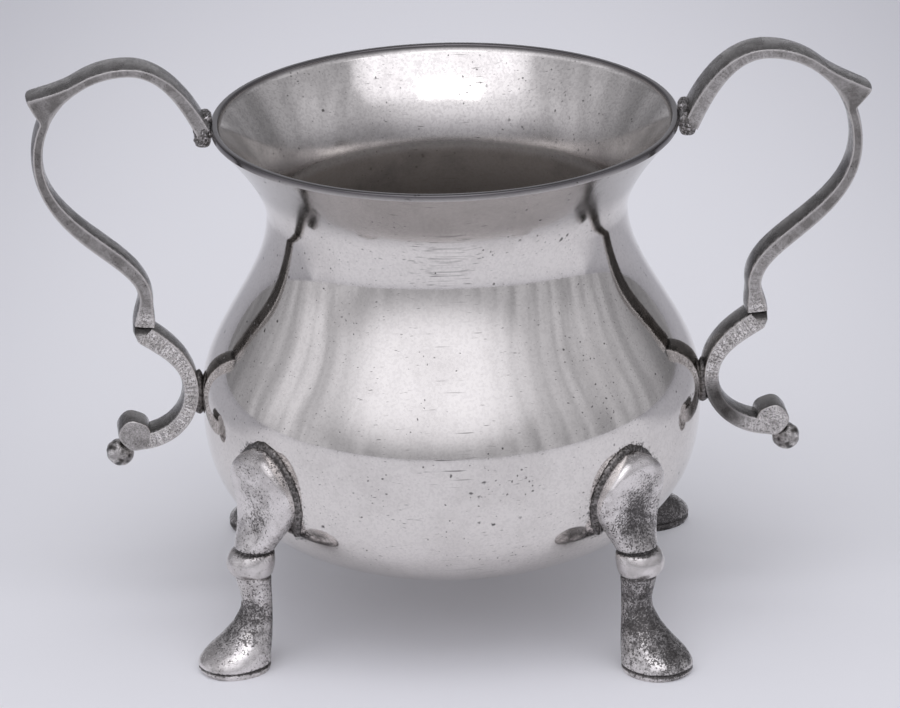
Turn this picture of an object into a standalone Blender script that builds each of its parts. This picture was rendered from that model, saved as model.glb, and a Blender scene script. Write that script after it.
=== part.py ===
"""Two-handled pewter sugar bowl on four cabriole feet.

The body is two cast cups soldered at the belly, with cast handles and feet soldered on.
Metres, +Z up. The origin is on the table, under the bowl's axis. The handles lie along X.
"""
import math

import bmesh
import bpy
from mathutils import Vector

# Body: radii outside, heights above the table
RIM_RADIUS = 0.0435
RIM_HEIGHT = 0.0965
LIP_HEIGHT = 0.0012
LIP_WIDTH = 0.0019
NECK_RADIUS = 0.0337
NECK_HEIGHT = 0.0788
BELLY_RADIUS = 0.0469
BELLY_HEIGHT = 0.0439
BASE_HEIGHT = 0.0121
WALL = 0.0016
BELLY_FULLNESS = 2.8
SHOULDER_SWELL = 0.92
FLARE_CURVE = 1.6

# Joints: clear gap between neighbours, and the solder that fills the rest
GAP = 0.0003
SOLDER = 0.0006

# Handle strap: depth along Y, thickness at places along its length
STRAP_DEPTH = 0.0063
STRAP_AT_RIM = 0.0017
STRAP_AT_ARCH = 0.0013
STRAP_AT_LOOP = 0.0020
STRAP_AT_WAIST = 0.0029
BLOCK_WIDTH = 0.0042

# Upper scroll of the handle: arch and loop from the rim, thumb rest from the loop's widest point,
# leaving the strap and returning to it at shares of the way from arch to loop
ARCH_OUT = 0.0152
ARCH_RISE = 0.0114
LOOP_OUT = 0.0326
LOOP_DROP = 0.0060
THUMB_OUT = 0.0021
THUMB_RISE = 0.0102
THUMB_TIP = 0.0010
THUMB_DIP = 0.0004
THUMB_LEAVES = 0.4
THUMB_RETURNS = 0.7

# Lower scroll of the handle: block, joint and volute from the belly, waist from the block
JOINT_HEIGHT = 0.0442
BLOCK_OUT = 0.0105
BLOCK_RISE = 0.0131
WAIST_IN = 0.0005
WAIST_RISE = 0.0052
STEP_DEPTH = 0.0014
STEP_HEIGHT = 0.0018
SCROLL_AT_JOINT = 0.0026
SCROLL_AT_FOOT = 0.0028
VOLUTE_OUT = 0.0131
VOLUTE_DROP = 0.0088
VOLUTE_RADIUS = 0.00305
BALL_RADIUS = 0.0026
BALL_SINK = 0.0005
BALL_TURN = math.radians(-56.0)

# Pull of the handle's curves: how far each keeps its direction, as a share of its stretch
RIM_PULL_OUT = 0.22
RIM_PULL_UP = 0.50
ARCH_PULL = 0.48
ROUND_PULL = 0.5523
LOOP_PULL = 0.51
WAIST_PULL = 0.34
THUMB_PULL = 0.60
STEP_PULL_IN = 0.45
STEP_PULL_DOWN = 0.22
JOINT_PULL_UP = 0.50
JOINT_PULL_DOWN = 0.55
FOOT_PULL = 0.60

# Solder of the handles: lump at the rim, pad at the belly
RIM_LUMP_HEIGHT = 0.0068
RIM_LUMP_DEPTH = 0.0080
RIM_LUMP_REACH = 0.0036
RIM_LUMP_ROOT = 0.0007
RIM_LUMP_DROP = 0.0006
BELLY_PAD_HEIGHT = 0.0070
BELLY_PAD_DEPTH = 0.0056
BELLY_PAD_DROP = 0.0012

# Feet: angles from the front or back, soldered on by eye, so that each differs a little
FRONT_LEFT_TURN = math.radians(52.5)
FRONT_RIGHT_TURN = math.radians(44.5)
BACK_LEFT_TURN = math.radians(45.0)
BACK_RIGHT_TURN = math.radians(47.5)

# Feet: sole, shank, collar and knee, each height from the one below
SOLE_LENGTH = 0.0130
SOLE_WIDTH = 0.0120
SOLE_FORWARD = 0.0054
SOLE_CHAMFER = 0.0003
TOE_BULGE = 0.0010
TOE_HEIGHT = 0.0022
SHANK_RADIUS = 0.00275
SHANK_HEIGHT = 0.0120
COLLAR_RADIUS = 0.0045
COLLAR_RISE = 0.0078
COLLAR_THICKNESS = 0.0032
ANKLE_RADIUS = 0.0037
KNEE_WIDTH = 0.0165
KNEE_RISE = 0.0137
KNEE_CROWN = 0.0097
KNEE_PROUD = 0.0036
KNEE_ROOT = 0.0030
SOLDER_MARGIN = 0.0015

# Fineness of the meshes
BODY_SIDES = 48
LOWER_STEPS = 12
UPPER_STEPS = 16
STRAP_STEPS = 10
BLOCK_STEPS = 4
SPUR_STEPS = 5
SCROLL_STEPS = 9
VOLUTE_SIDES = 24
BALL_RINGS = 9
FOOT_SIDES = 18
FOOT_STEPS = 6
COLLAR_STEPS = 4
MERGE = 1e-6

for old in list(bpy.data.objects):
    bpy.data.objects.remove(old)


def pewter(name, colour, roughness):
    """A metal material with one colour and roughness."""
    made = bpy.data.materials.new(name)
    made.use_nodes = True
    shader = made.node_tree.nodes["Principled BSDF"]
    shader.inputs["Base Color"].default_value = (*colour, 1.0)
    shader.inputs["Roughness"].default_value = roughness
    shader.inputs["Metallic"].default_value = 1.0
    return made


POLISHED = pewter("polished_pewter", (0.60, 0.59, 0.57), 0.12)
CAST = pewter("cast_pewter", (0.42, 0.41, 0.39), 0.34)
AGED = pewter("aged_pewter", (0.36, 0.35, 0.33), 0.38)
TIN = pewter("tin_solder", (0.30, 0.29, 0.27), 0.45)


def finish(name, mesh_edit, material):
    """Turn an edited mesh into a named object with outward faces and smooth shading."""
    bmesh.ops.recalc_face_normals(mesh_edit, faces=mesh_edit.faces)
    mesh = bpy.data.meshes.new(name)
    mesh_edit.to_mesh(mesh)
    mesh_edit.free()
    mesh.materials.append(material)
    mesh.shade_smooth()
    mesh.set_sharp_from_angle(angle=math.radians(35))
    made = bpy.data.objects.new(name, mesh)
    bpy.context.scene.collection.objects.link(made)
    return made


def as_cutter(made):
    """Mark an object as a shape that only cuts others."""
    made.hide_render = True
    made.display_type = "WIRE"
    return made


def boolean(target, cutter, operation):
    """Add a live boolean of one object on another."""
    step = target.modifiers.new(cutter.name, "BOOLEAN")
    step.object = cutter
    step.operation = operation
    step.solver = "EXACT"


def ease(share):
    """Cosine step from 0 to 1."""
    return 0.5 - 0.5 * math.cos(math.pi * share)


def mix(low, high, share):
    """Straight mix of two values."""
    return low + (high - low) * share


# Turned body

def belly_radius(height):
    """Outside radius of the belly below its widest line, a superellipse."""
    drop = min(1.0, max(0.0, (BELLY_HEIGHT - height) / (BELLY_HEIGHT - BASE_HEIGHT)))
    return BELLY_RADIUS * (1.0 - drop ** BELLY_FULLNESS) ** (1.0 / BELLY_FULLNESS)


def bowl_radius(height):
    """Outside radius of the bowl at any height from its base to the lip."""
    if height <= BELLY_HEIGHT:
        return belly_radius(height)
    if height <= NECK_HEIGHT:
        share = (height - BELLY_HEIGHT) / (NECK_HEIGHT - BELLY_HEIGHT)
        return mix(BELLY_RADIUS, NECK_RADIUS, ease(share ** SHOULDER_SWELL))
    share = (height - NECK_HEIGHT) / (RIM_HEIGHT - LIP_HEIGHT - NECK_HEIGHT)
    return mix(NECK_RADIUS, RIM_RADIUS, min(1.0, share) ** FLARE_CURVE)


def lower_outline(steps):
    """Outside of the belly cup, from the middle of its bottom to its widest line."""
    power = 2.0 / BELLY_FULLNESS
    points = []
    for step in range(steps + 1):
        turn = 0.5 * math.pi * step / steps
        radius = BELLY_RADIUS * math.sin(turn) ** power
        height = BELLY_HEIGHT - (BELLY_HEIGHT - BASE_HEIGHT) * max(0.0, math.cos(turn)) ** power
        points.append(Vector((radius, height)))
    return points


def upper_outline(steps):
    """Outside of the shoulder, neck and flare, from the widest line to the underside of the lip."""
    top = RIM_HEIGHT - LIP_HEIGHT
    heights = [mix(BELLY_HEIGHT, top, step / steps) for step in range(steps + 1)]
    return [Vector((bowl_radius(height), height)) for height in heights]


def moved_out(points, distance):
    """Offset an outline along its outward normals. Its first and last normals lie along the ends."""
    moved = []
    last = len(points) - 1
    for index, point in enumerate(points):
        along = points[min(index + 1, last)] - points[max(index - 1, 0)]
        normal = Vector((along.y, -along.x)).normalized()
        if index == 0 and point.x < MERGE:
            normal = Vector((0.0, -1.0))
        moved.append(point + normal * distance)
    return moved


def level_end(points, height):
    """Bring the last point of an outline to a given height, so that the rim of a cup is level."""
    return points[:-1] + [Vector((points[-1].x, height))]


def turned(name, outline, material, closed):
    """Spin an outline of (radius, height) points about Z. An open outline ends on the axis."""
    edit = bmesh.new()
    verts = [edit.verts.new((point.x, 0.0, point.y)) for point in outline]
    edges = [edit.edges.new(pair) for pair in zip(verts, verts[1:])]
    if closed:
        edges.append(edit.edges.new((verts[-1], verts[0])))
    bmesh.ops.spin(edit, geom=verts + edges, axis=(0, 0, 1), cent=(0, 0, 0), angle=2 * math.pi,
                   steps=BODY_SIDES, use_merge=True)
    bmesh.ops.remove_doubles(edit, verts=edit.verts, dist=MERGE)
    return finish(name, edit, material)


seam_half = 0.5 * SOLDER
cup_edge = BELLY_HEIGHT - seam_half - GAP
shoulder_edge = BELLY_HEIGHT + seam_half + GAP

belly_out = lower_outline(LOWER_STEPS)
belly_in = moved_out(belly_out, -WALL)
shoulder_out = upper_outline(UPPER_STEPS)
shoulder_in = moved_out(shoulder_out, -WALL)

turned("lower_body", level_end(belly_out, cup_edge) + level_end(belly_in, cup_edge)[::-1],
       POLISHED, closed=False)

lip_bottom = RIM_HEIGHT - LIP_HEIGHT
lip = [Vector((RIM_RADIUS, RIM_HEIGHT)), Vector((RIM_RADIUS - LIP_WIDTH, RIM_HEIGHT))]
inside = [point for point in shoulder_in[1:] if point.y < lip_bottom and point.x < RIM_RADIUS - LIP_WIDTH]
shoulder_foot_out = Vector((bowl_radius(shoulder_edge), shoulder_edge))
shoulder_foot_in = Vector((shoulder_foot_out.x - WALL, shoulder_edge))
turned("upper_body", [shoulder_foot_out] + shoulder_out[1:] + lip + inside[::-1] + [shoulder_foot_in],
       POLISHED, closed=True)

seam = [(BELLY_RADIUS, -seam_half), (BELLY_RADIUS, seam_half),
        (BELLY_RADIUS - WALL, seam_half), (BELLY_RADIUS - WALL, -seam_half)]
seam_outline = [Vector((radius, BELLY_HEIGHT + rise)) for radius, rise in seam]
turned("belly_seam_solder", seam_outline, TIN, closed=True)


def bowl_form(name, distance):
    """The bowl's outside as a filled solid, grown by a distance, to cut what is soldered to it."""
    side = moved_out(belly_out[:-1] + shoulder_out, distance)
    top = RIM_HEIGHT + distance
    outline = side + [Vector((RIM_RADIUS + distance, top)), Vector((0.0, top))]
    return as_cutter(turned(name, outline, TIN, closed=False))


clear_of_bowl = bowl_form("clear_of_bowl", GAP)
solder_face = bowl_form("solder_face", GAP + SOLDER)
clear_of_solder = bowl_form("clear_of_solder", SOLDER + 2 * GAP)


# Handles

def bezier(start, start_pull, end_pull, end, steps):
    """Points along one cubic curve, both ends included."""
    points = []
    for step in range(steps + 1):
        far = step / steps
        near = 1.0 - far
        points.append(start * near ** 3 + start_pull * (3 * near ** 2 * far)
                      + end_pull * (3 * near * far ** 2) + end * far ** 3)
    return points


def strap_edges(spine, thicknesses):
    """Left and right edge of a strap along a spine, from its thickness at each point."""
    last = len(spine) - 1
    left = []
    right = []
    for index, (point, thickness) in enumerate(zip(spine, thicknesses)):
        along = (spine[min(index + 1, last)] - spine[max(index - 1, 0)]).normalized()
        across = Vector((-along.y, along.x)) * (0.5 * thickness)
        left.append(point + across)
        right.append(point - across)
    return left, right


def eased_run(start, end, steps):
    """Thicknesses that change smoothly along one stretch of strap."""
    return [mix(start, end, ease(step / steps)) for step in range(steps + 1)]


joint_span = [JOINT_HEIGHT - BELLY_PAD_DROP + share * BELLY_PAD_HEIGHT for share in (-0.5, 0.0, 0.5)]
belly_face = max(bowl_radius(height) for height in joint_span)
landing = belly_face + 2 * GAP + SOLDER
block_end = Vector((belly_face + BLOCK_OUT, JOINT_HEIGHT + BLOCK_RISE))
volute_middle = Vector((belly_face + VOLUTE_OUT, JOINT_HEIGHT - VOLUTE_DROP))


def upper_scroll():
    """Outer and inner edge of the handle from the rim to the block above the lower scroll."""
    rim_end = Vector((RIM_RADIUS + 0.5 * RIM_LUMP_REACH, RIM_HEIGHT))
    arch = Vector((RIM_RADIUS + ARCH_OUT, RIM_HEIGHT + ARCH_RISE))
    loop = Vector((RIM_RADIUS + LOOP_OUT, RIM_HEIGHT - LOOP_DROP))
    waist = block_end + Vector((-WAIST_IN, WAIST_RISE))
    climb = arch - rim_end
    quarter = loop - arch
    fall = loop.y - waist.y
    spine = bezier(rim_end, rim_end + Vector((RIM_PULL_OUT * climb.x, RIM_PULL_UP * climb.y)),
                   arch - Vector((ARCH_PULL * climb.x, 0.0)), arch, STRAP_STEPS)
    spine += bezier(arch, arch + Vector((ROUND_PULL * quarter.x, 0.0)),
                    loop - Vector((0.0, ROUND_PULL * quarter.y)), loop, STRAP_STEPS)[1:]
    spine += bezier(loop, loop - Vector((0.0, LOOP_PULL * fall)),
                    waist + Vector((0.0, WAIST_PULL * fall)), waist, STRAP_STEPS)[1:]
    spine += [mix(waist, block_end, step / BLOCK_STEPS) for step in range(1, BLOCK_STEPS + 1)]
    thicknesses = eased_run(STRAP_AT_RIM, STRAP_AT_ARCH, STRAP_STEPS)
    thicknesses += eased_run(STRAP_AT_ARCH, STRAP_AT_LOOP, STRAP_STEPS)[1:]
    thicknesses += eased_run(STRAP_AT_LOOP, STRAP_AT_WAIST, STRAP_STEPS)[1:]
    thicknesses += eased_run(STRAP_AT_WAIST, BLOCK_WIDTH, BLOCK_STEPS)[1:]
    outer, inner = strap_edges(spine, thicknesses)
    return with_thumb_rest(outer, loop), inner


def with_thumb_rest(outer, loop):
    """Outer edge of the handle with the spur of the thumb rest, which leaves it past the arch."""
    spur_start = round((1.0 + THUMB_LEAVES) * STRAP_STEPS)
    spur_end = round((1.0 + THUMB_RETURNS) * STRAP_STEPS)
    tip = loop + Vector((THUMB_OUT, THUMB_RISE))
    leave = outer[spur_start]
    pull = outer[spur_start] - outer[spur_start - 1]
    dip = mix(leave, tip, THUMB_PULL) - Vector((0.0, THUMB_DIP))
    spur = bezier(leave, leave + pull, dip, tip, SPUR_STEPS)
    under = mix(tip - Vector((0.0, THUMB_TIP)), outer[spur_end], THUMB_TIP / THUMB_RISE)
    return outer[:spur_start] + spur + [under] + outer[spur_end:]


def lower_scroll():
    """Outer and inner edge of the lower scroll, from its step under the block to the volute."""
    step_top = block_end - Vector((0.0, STEP_HEIGHT))
    joint = Vector((landing + 0.5 * SCROLL_AT_JOINT, JOINT_HEIGHT))
    foot = volute_middle - Vector((0.0, VOLUTE_RADIUS - 0.5 * SCROLL_AT_FOOT))
    above = step_top - joint
    below = joint.y - foot.y
    ahead = foot.x - joint.x
    spine = bezier(step_top, step_top - Vector((STEP_PULL_IN * above.x, STEP_PULL_DOWN * above.y)),
                   joint + Vector((0.0, JOINT_PULL_UP * above.y)), joint, SCROLL_STEPS)
    spine += bezier(joint, joint - Vector((0.0, JOINT_PULL_DOWN * below)),
                    foot - Vector((FOOT_PULL * ahead, 0.0)), foot, SCROLL_STEPS)[1:]
    thicknesses = eased_run(BLOCK_WIDTH, SCROLL_AT_JOINT, SCROLL_STEPS)
    thicknesses += eased_run(SCROLL_AT_JOINT, SCROLL_AT_FOOT, SCROLL_STEPS)[1:]
    return strap_edges(spine, thicknesses)


def plate(name, outline, depth, material):
    """A flat outline in XZ given a depth along Y, centred on the handle's plane."""
    edit = bmesh.new()
    verts = [edit.verts.new((point.x, -0.5 * depth, point.y)) for point in outline]
    face = edit.faces.new(verts)
    grown = bmesh.ops.extrude_face_region(edit, geom=[face])
    lifted = [item for item in grown["geom"] if isinstance(item, bmesh.types.BMVert)]
    bmesh.ops.translate(edit, verts=lifted, vec=(0.0, depth, 0.0))
    return finish(name, edit, material)


def ball(name, centre, radii, rings, material):
    """A round lump with its own radius along each axis."""
    edit = bmesh.new()
    bmesh.ops.create_uvsphere(edit, u_segments=2 * rings, v_segments=rings, radius=1.0)
    bmesh.ops.scale(edit, vec=radii, verts=edit.verts)
    bmesh.ops.translate(edit, vec=centre, verts=edit.verts)
    return finish(name, edit, material)


def block_shape(name, low, high, material):
    """A box between two corners."""
    edit = bmesh.new()
    bmesh.ops.create_cube(edit, size=1.0)
    bmesh.ops.scale(edit, vec=high - low, verts=edit.verts)
    bmesh.ops.translate(edit, vec=(low + high) / 2, verts=edit.verts)
    return finish(name, edit, material)


def volute_outline():
    """The round end of the lower scroll, as a circle."""
    turns = [2 * math.pi * side / VOLUTE_SIDES for side in range(VOLUTE_SIDES)]
    return [volute_middle + VOLUTE_RADIUS * Vector((math.cos(turn), math.sin(turn))) for turn in turns]


def step_wedge(name, side):
    """Sloping notch in one face of the handle, where the block meets the lower scroll."""
    top = block_end.y
    face = side * 0.5 * STRAP_DEPTH
    beyond = side * (0.5 * STRAP_DEPTH + STEP_DEPTH)
    deep = side * (0.5 * STRAP_DEPTH - STEP_DEPTH)
    section = [(deep, top), (beyond, top), (beyond, top - STEP_HEIGHT), (face, top - STEP_HEIGHT)]
    edit = bmesh.new()
    verts = [edit.verts.new((block_end.x - BLOCK_WIDTH, across, height)) for across, height in section]
    grown = bmesh.ops.extrude_face_region(edit, geom=[edit.faces.new(verts)])
    lifted = [item for item in grown["geom"] if isinstance(item, bmesh.types.BMVert)]
    bmesh.ops.translate(edit, verts=lifted, vec=(2 * BLOCK_WIDTH, 0.0, 0.0))
    return finish(name, edit, CAST)


upper_outer, upper_inner = upper_scroll()
lower_outer, lower_inner = lower_scroll()
handle_outline = upper_outer + lower_outer + lower_inner[::-1] + upper_inner[::-1]

lump_middle = Vector((RIM_RADIUS + 0.5 * (RIM_LUMP_REACH - RIM_LUMP_ROOT), 0.0, RIM_HEIGHT - RIM_LUMP_DROP))
lump_radii = 0.5 * Vector((RIM_LUMP_REACH + RIM_LUMP_ROOT, RIM_LUMP_DEPTH, RIM_LUMP_HEIGHT))
ball_reach = VOLUTE_RADIUS + BALL_RADIUS - BALL_SINK
ball_middle = Vector((volute_middle.x + ball_reach * math.cos(BALL_TURN), 0.0,
                      volute_middle.y + ball_reach * math.sin(BALL_TURN)))
pad_low = Vector((belly_face - WALL, -0.5 * BELLY_PAD_DEPTH, joint_span[0]))
pad_high = Vector((landing - GAP, 0.5 * BELLY_PAD_DEPTH, joint_span[-1]))
behind_low = Vector((belly_face - WALL, -STRAP_DEPTH, joint_span[0] - BELLY_PAD_HEIGHT))
behind_high = Vector((landing, STRAP_DEPTH, joint_span[-1] + BELLY_PAD_HEIGHT))


def handle_side(side, turn):
    """One handle with its two lumps of solder, turned about the axis to its side of the bowl."""
    stand = bpy.data.objects.new("handle_stand_" + side, None)
    bpy.context.scene.collection.objects.link(stand)
    handle = plate("handle_" + side, handle_outline, STRAP_DEPTH, CAST)
    lump = ball("handle_" + side + "_rim_solder", lump_middle, lump_radii, BALL_RINGS, TIN)
    pad = block_shape("handle_" + side + "_belly_solder", pad_low, pad_high, TIN)
    disc = plate("volute_form_" + side, volute_outline(), STRAP_DEPTH, CAST)
    knob = ball("ball_form_" + side, ball_middle, Vector((BALL_RADIUS,) * 3), BALL_RINGS, CAST)
    clear_radii = lump_radii + Vector((GAP,) * 3)
    clear_of_lump = ball("clear_of_lump_" + side, lump_middle, clear_radii, BALL_RINGS, CAST)
    behind_landing = block_shape("behind_landing_" + side, behind_low, behind_high, CAST)
    front_step = step_wedge("front_step_" + side, -1)
    back_step = step_wedge("back_step_" + side, 1)
    joined = (disc, knob)
    removed = (clear_of_lump, behind_landing, front_step, back_step)
    for form in joined:
        boolean(handle, as_cutter(form), "UNION")
    for form in removed:
        boolean(handle, as_cutter(form), "DIFFERENCE")
    boolean(lump, clear_of_bowl, "DIFFERENCE")
    boolean(pad, clear_of_bowl, "DIFFERENCE")
    for piece in (handle, lump, pad, *joined, *removed):
        piece.parent = stand
    stand.rotation_euler.z = turn


handle_side("right", 0.0)
handle_side("left", math.pi)


# Feet

def oval(height, front, back, half_width):
    """One level section of a foot, modelled along +X: from front to back and half its width."""
    middle = 0.5 * (front + back)
    half_length = 0.5 * (front - back)
    turns = [2 * math.pi * side / FOOT_SIDES for side in range(FOOT_SIDES)]
    return [(middle + half_length * math.cos(turn), half_width * math.sin(turn), height) for turn in turns]


def between(low, high, steps):
    """Sections that ease from one to the next, without the first."""
    sections = []
    for step in range(1, steps + 1):
        share = step / steps
        height = mix(low[0], high[0], share)
        sections.append((height, *(mix(a, b, ease(share)) for a, b in zip(low[1:], high[1:]))))
    return sections


collar_height = SHANK_HEIGHT + COLLAR_RISE
knee_height = collar_height + KNEE_RISE
knee_top = knee_height + KNEE_CROWN


def knee_sections(margin):
    """Sections of the knee above the ankle, grown by a margin, which lie partly inside the belly."""
    start = collar_height + 0.5 * COLLAR_THICKNESS
    sections = []
    for step in range(1, FOOT_STEPS + 1):
        share = step / FOOT_STEPS
        height = mix(start, knee_height, share)
        front = mix(BELLY_RADIUS + ANKLE_RADIUS, bowl_radius(height) + KNEE_PROUD, ease(share))
        back = mix(BELLY_RADIUS - ANKLE_RADIUS, bowl_radius(height) - KNEE_ROOT, ease(share))
        half_width = mix(ANKLE_RADIUS, 0.5 * KNEE_WIDTH, ease(share))
        sections.append((height, front + margin, back - margin, half_width + margin))
    for step in range(1, FOOT_STEPS):
        turn = 0.5 * math.pi * step / FOOT_STEPS
        height = mix(knee_height, knee_top + margin, math.sin(turn))
        swell = math.cos(turn)
        front = bowl_radius(height) + (KNEE_PROUD + margin) * math.sqrt(swell)
        back = bowl_radius(height) - KNEE_ROOT - margin
        sections.append((height, front, back, (0.5 * KNEE_WIDTH + margin) * swell))
    return sections


def foot_sections():
    """Sections of a foot from its sole to the top of its knee."""
    sole_middle = BELLY_RADIUS + SOLE_FORWARD
    toe = sole_middle + 0.5 * SOLE_LENGTH
    heel = sole_middle - 0.5 * SOLE_LENGTH
    half_sole = 0.5 * SOLE_WIDTH
    sole = (0.0, toe - SOLE_CHAMFER, heel + SOLE_CHAMFER, half_sole - SOLE_CHAMFER)
    edge = (SOLE_CHAMFER, toe, heel, half_sole)
    fullest = (TOE_HEIGHT, toe + TOE_BULGE, heel, half_sole)
    shank = (SHANK_HEIGHT, BELLY_RADIUS + SHANK_RADIUS, BELLY_RADIUS - SHANK_RADIUS, SHANK_RADIUS)
    collar_low = collar_height - 0.5 * COLLAR_THICKNESS
    neck = (collar_low, BELLY_RADIUS + ANKLE_RADIUS, BELLY_RADIUS - ANKLE_RADIUS, ANKLE_RADIUS)
    sections = [sole, edge] + between(edge, fullest, FOOT_STEPS // 3)
    sections += between(fullest, shank, FOOT_STEPS) + between(shank, neck, FOOT_STEPS // 2)
    for step in range(1, COLLAR_STEPS + 1):
        turn = math.pi * step / COLLAR_STEPS
        radius = mix(ANKLE_RADIUS, COLLAR_RADIUS, math.sin(turn))
        height = collar_height - 0.5 * COLLAR_THICKNESS * math.cos(turn)
        sections.append((height, BELLY_RADIUS + radius, BELLY_RADIUS - radius, radius))
    return sections + knee_sections(0.0)


def lofted(name, sections, material):
    """Skin level sections, one above the other, and close both ends."""
    edit = bmesh.new()
    rings = [[edit.verts.new(corner) for corner in oval(*section)] for section in sections]
    for low, high in zip(rings, rings[1:]):
        for side in range(FOOT_SIDES):
            after = (side + 1) % FOOT_SIDES
            edit.faces.new((low[side], low[after], high[after], high[side]))
    edit.faces.new(rings[0][::-1])
    edit.faces.new(rings[-1])
    return finish(name, edit, material)


FOOT_ANGLES = {
    "front_right": FRONT_RIGHT_TURN - 0.5 * math.pi,
    "front_left": -FRONT_LEFT_TURN - 0.5 * math.pi,
    "back_left": BACK_LEFT_TURN + 0.5 * math.pi,
    "back_right": -BACK_RIGHT_TURN + 0.5 * math.pi,
}

for place, angle in FOOT_ANGLES.items():
    foot = lofted("foot_" + place, foot_sections(), AGED)
    bed = lofted("foot_" + place + "_solder", knee_sections(SOLDER_MARGIN), TIN)
    boolean(foot, clear_of_solder, "DIFFERENCE")
    boolean(bed, solder_face, "INTERSECT")
    boolean(bed, clear_of_bowl, "DIFFERENCE")
    for piece in (foot, bed):
        piece.rotation_euler.z = angle
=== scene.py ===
"""Looks of the two-handled pewter sugar bowl: fine surfaces with their finishes, on a pale floor."""
import math

import bmesh
import bpy
import numpy as np
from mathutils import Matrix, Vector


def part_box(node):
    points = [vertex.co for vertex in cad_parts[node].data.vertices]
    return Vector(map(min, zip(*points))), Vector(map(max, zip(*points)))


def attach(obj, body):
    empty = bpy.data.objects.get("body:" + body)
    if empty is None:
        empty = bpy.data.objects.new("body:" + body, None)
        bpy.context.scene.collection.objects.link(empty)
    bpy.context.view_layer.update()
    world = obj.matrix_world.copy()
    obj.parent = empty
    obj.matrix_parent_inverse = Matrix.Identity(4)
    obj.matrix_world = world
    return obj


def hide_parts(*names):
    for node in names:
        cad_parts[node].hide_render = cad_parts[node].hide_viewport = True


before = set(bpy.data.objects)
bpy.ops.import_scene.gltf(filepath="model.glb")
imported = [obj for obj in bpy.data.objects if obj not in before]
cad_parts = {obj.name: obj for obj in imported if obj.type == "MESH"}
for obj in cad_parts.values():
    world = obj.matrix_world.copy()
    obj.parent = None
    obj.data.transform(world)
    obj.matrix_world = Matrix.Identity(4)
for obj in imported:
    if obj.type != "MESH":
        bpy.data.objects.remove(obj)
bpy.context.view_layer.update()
scene = bpy.context.scene


# Lower body
# The belly cup of the bowl, cast in pewter and turned to a polish inside and out.
# Its top edge is soldered to the upper body at the widest line, so that the two read as one.
BELLY_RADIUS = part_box("lower_body")[1][0]
BELLY_HEIGHT = 0.0439
BASE_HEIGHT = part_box("lower_body")[0][2]
BELLY_FULLNESS = 2.8
WALL = 0.0016
BODY_SIDES = 288
BELLY_ROWS = 96
MERGE = 1e-7
SHARP_TURN = math.radians(38)


def added(name, data):
    """Put data into the scene as a new object."""
    made = bpy.data.objects.new(name, data)
    scene.collection.objects.link(made)
    return made


def skin(name, surfaces):
    """Join grids of points into one mesh of quads. A grid's rows run up a piece and its columns close
    round it. Points that fall together, as at a pole, are merged, and faces are turned outwards.
    Each surface is (grid, {attribute: a number for each point})."""
    points, quads, start = [], [], 0
    marks = sorted({mark for _, values in surfaces for mark in values})
    numbers = {mark: [] for mark in marks}
    for grid, values in surfaces:
        rows, columns = grid.shape[:2]
        index = start + np.arange(rows * columns).reshape(rows, columns)
        index = np.hstack((index, index[:, :1]))
        corners = (index[:-1, :-1], index[:-1, 1:], index[1:, 1:], index[1:, :-1])
        quads.append(np.stack(corners, axis=-1).reshape(-1, 4))
        points.append(grid.reshape(-1, 3))
        for mark in marks:
            numbers[mark].append(np.broadcast_to(values.get(mark, 0.0), (rows, columns)).ravel())
        start += rows * columns
    mesh = bpy.data.meshes.new(name)
    mesh.from_pydata(np.concatenate(points).tolist(), [], np.concatenate(quads).tolist())
    for mark in marks:
        layer = mesh.attributes.new(mark, "FLOAT", "POINT")
        layer.data.foreach_set("value", np.concatenate(numbers[mark]).astype(np.float32))
    edit = bmesh.new()
    edit.from_mesh(mesh)
    bmesh.ops.remove_doubles(edit, verts=edit.verts, dist=MERGE)
    bmesh.ops.dissolve_degenerate(edit, edges=edit.edges, dist=MERGE)
    bmesh.ops.recalc_face_normals(edit, faces=edit.faces)
    edit.to_mesh(mesh)
    edit.free()
    mesh.shade_smooth()
    mesh.set_sharp_from_angle(angle=SHARP_TURN)
    return added(name, mesh)


def fitted(piece, node_name, material):
    """Give a piece its finish and set it in place of the solid that it stands for."""
    piece.data.materials.append(material)
    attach(piece, "root")
    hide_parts(node_name)


def eased(share):
    """Cosine step from 0 to 1."""
    return 0.5 - 0.5 * np.cos(np.pi * np.clip(share, 0.0, 1.0))


def way(value, start, end):
    """Share of the way from a start to an end, held between 0 and 1."""
    return np.clip((value - start) / (end - start), 0.0, 1.0)


def unit(rows):
    """Vectors made one long."""
    return rows / np.linalg.norm(rows, axis=1, keepdims=True)


def left_of(line):
    """Normals one long on the left of a line of points, so inwards from an outline up the outside."""
    along = unit(np.gradient(line, axis=0))
    return np.stack((-along[:, 1], along[:, 0]), axis=1)


def full_turn(sides):
    """Even angles round a full turn."""
    return np.linspace(0.0, 2.0 * np.pi, sides, endpoint=False)


def placed(radius, turn, height):
    """Points at a radius, an angle and a height about an upright axis."""
    return np.stack(np.broadcast_arrays(radius * np.cos(turn), radius * np.sin(turn), height), axis=-1)


def turned(outline):
    """Carry an outline of (radius, height) points round the bowl's axis."""
    return placed(outline[:, :1], full_turn(BODY_SIDES), outline[:, 1:])


def belly_outline(rows):
    """Superellipse from the middle of the bottom to the widest line: radius follows the sine of a
    quarter turn and drop its cosine, both to the power 2 over the fullness."""
    turn = np.linspace(0.0, 0.5 * np.pi, rows)
    power = 2.0 / BELLY_FULLNESS
    radius = BELLY_RADIUS * np.sin(turn) ** power
    drop = (BELLY_HEIGHT - BASE_HEIGHT) * np.abs(np.cos(turn)) ** power
    drop[-1] = 0.0
    return np.stack((radius, BELLY_HEIGHT - drop), axis=1)


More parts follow.
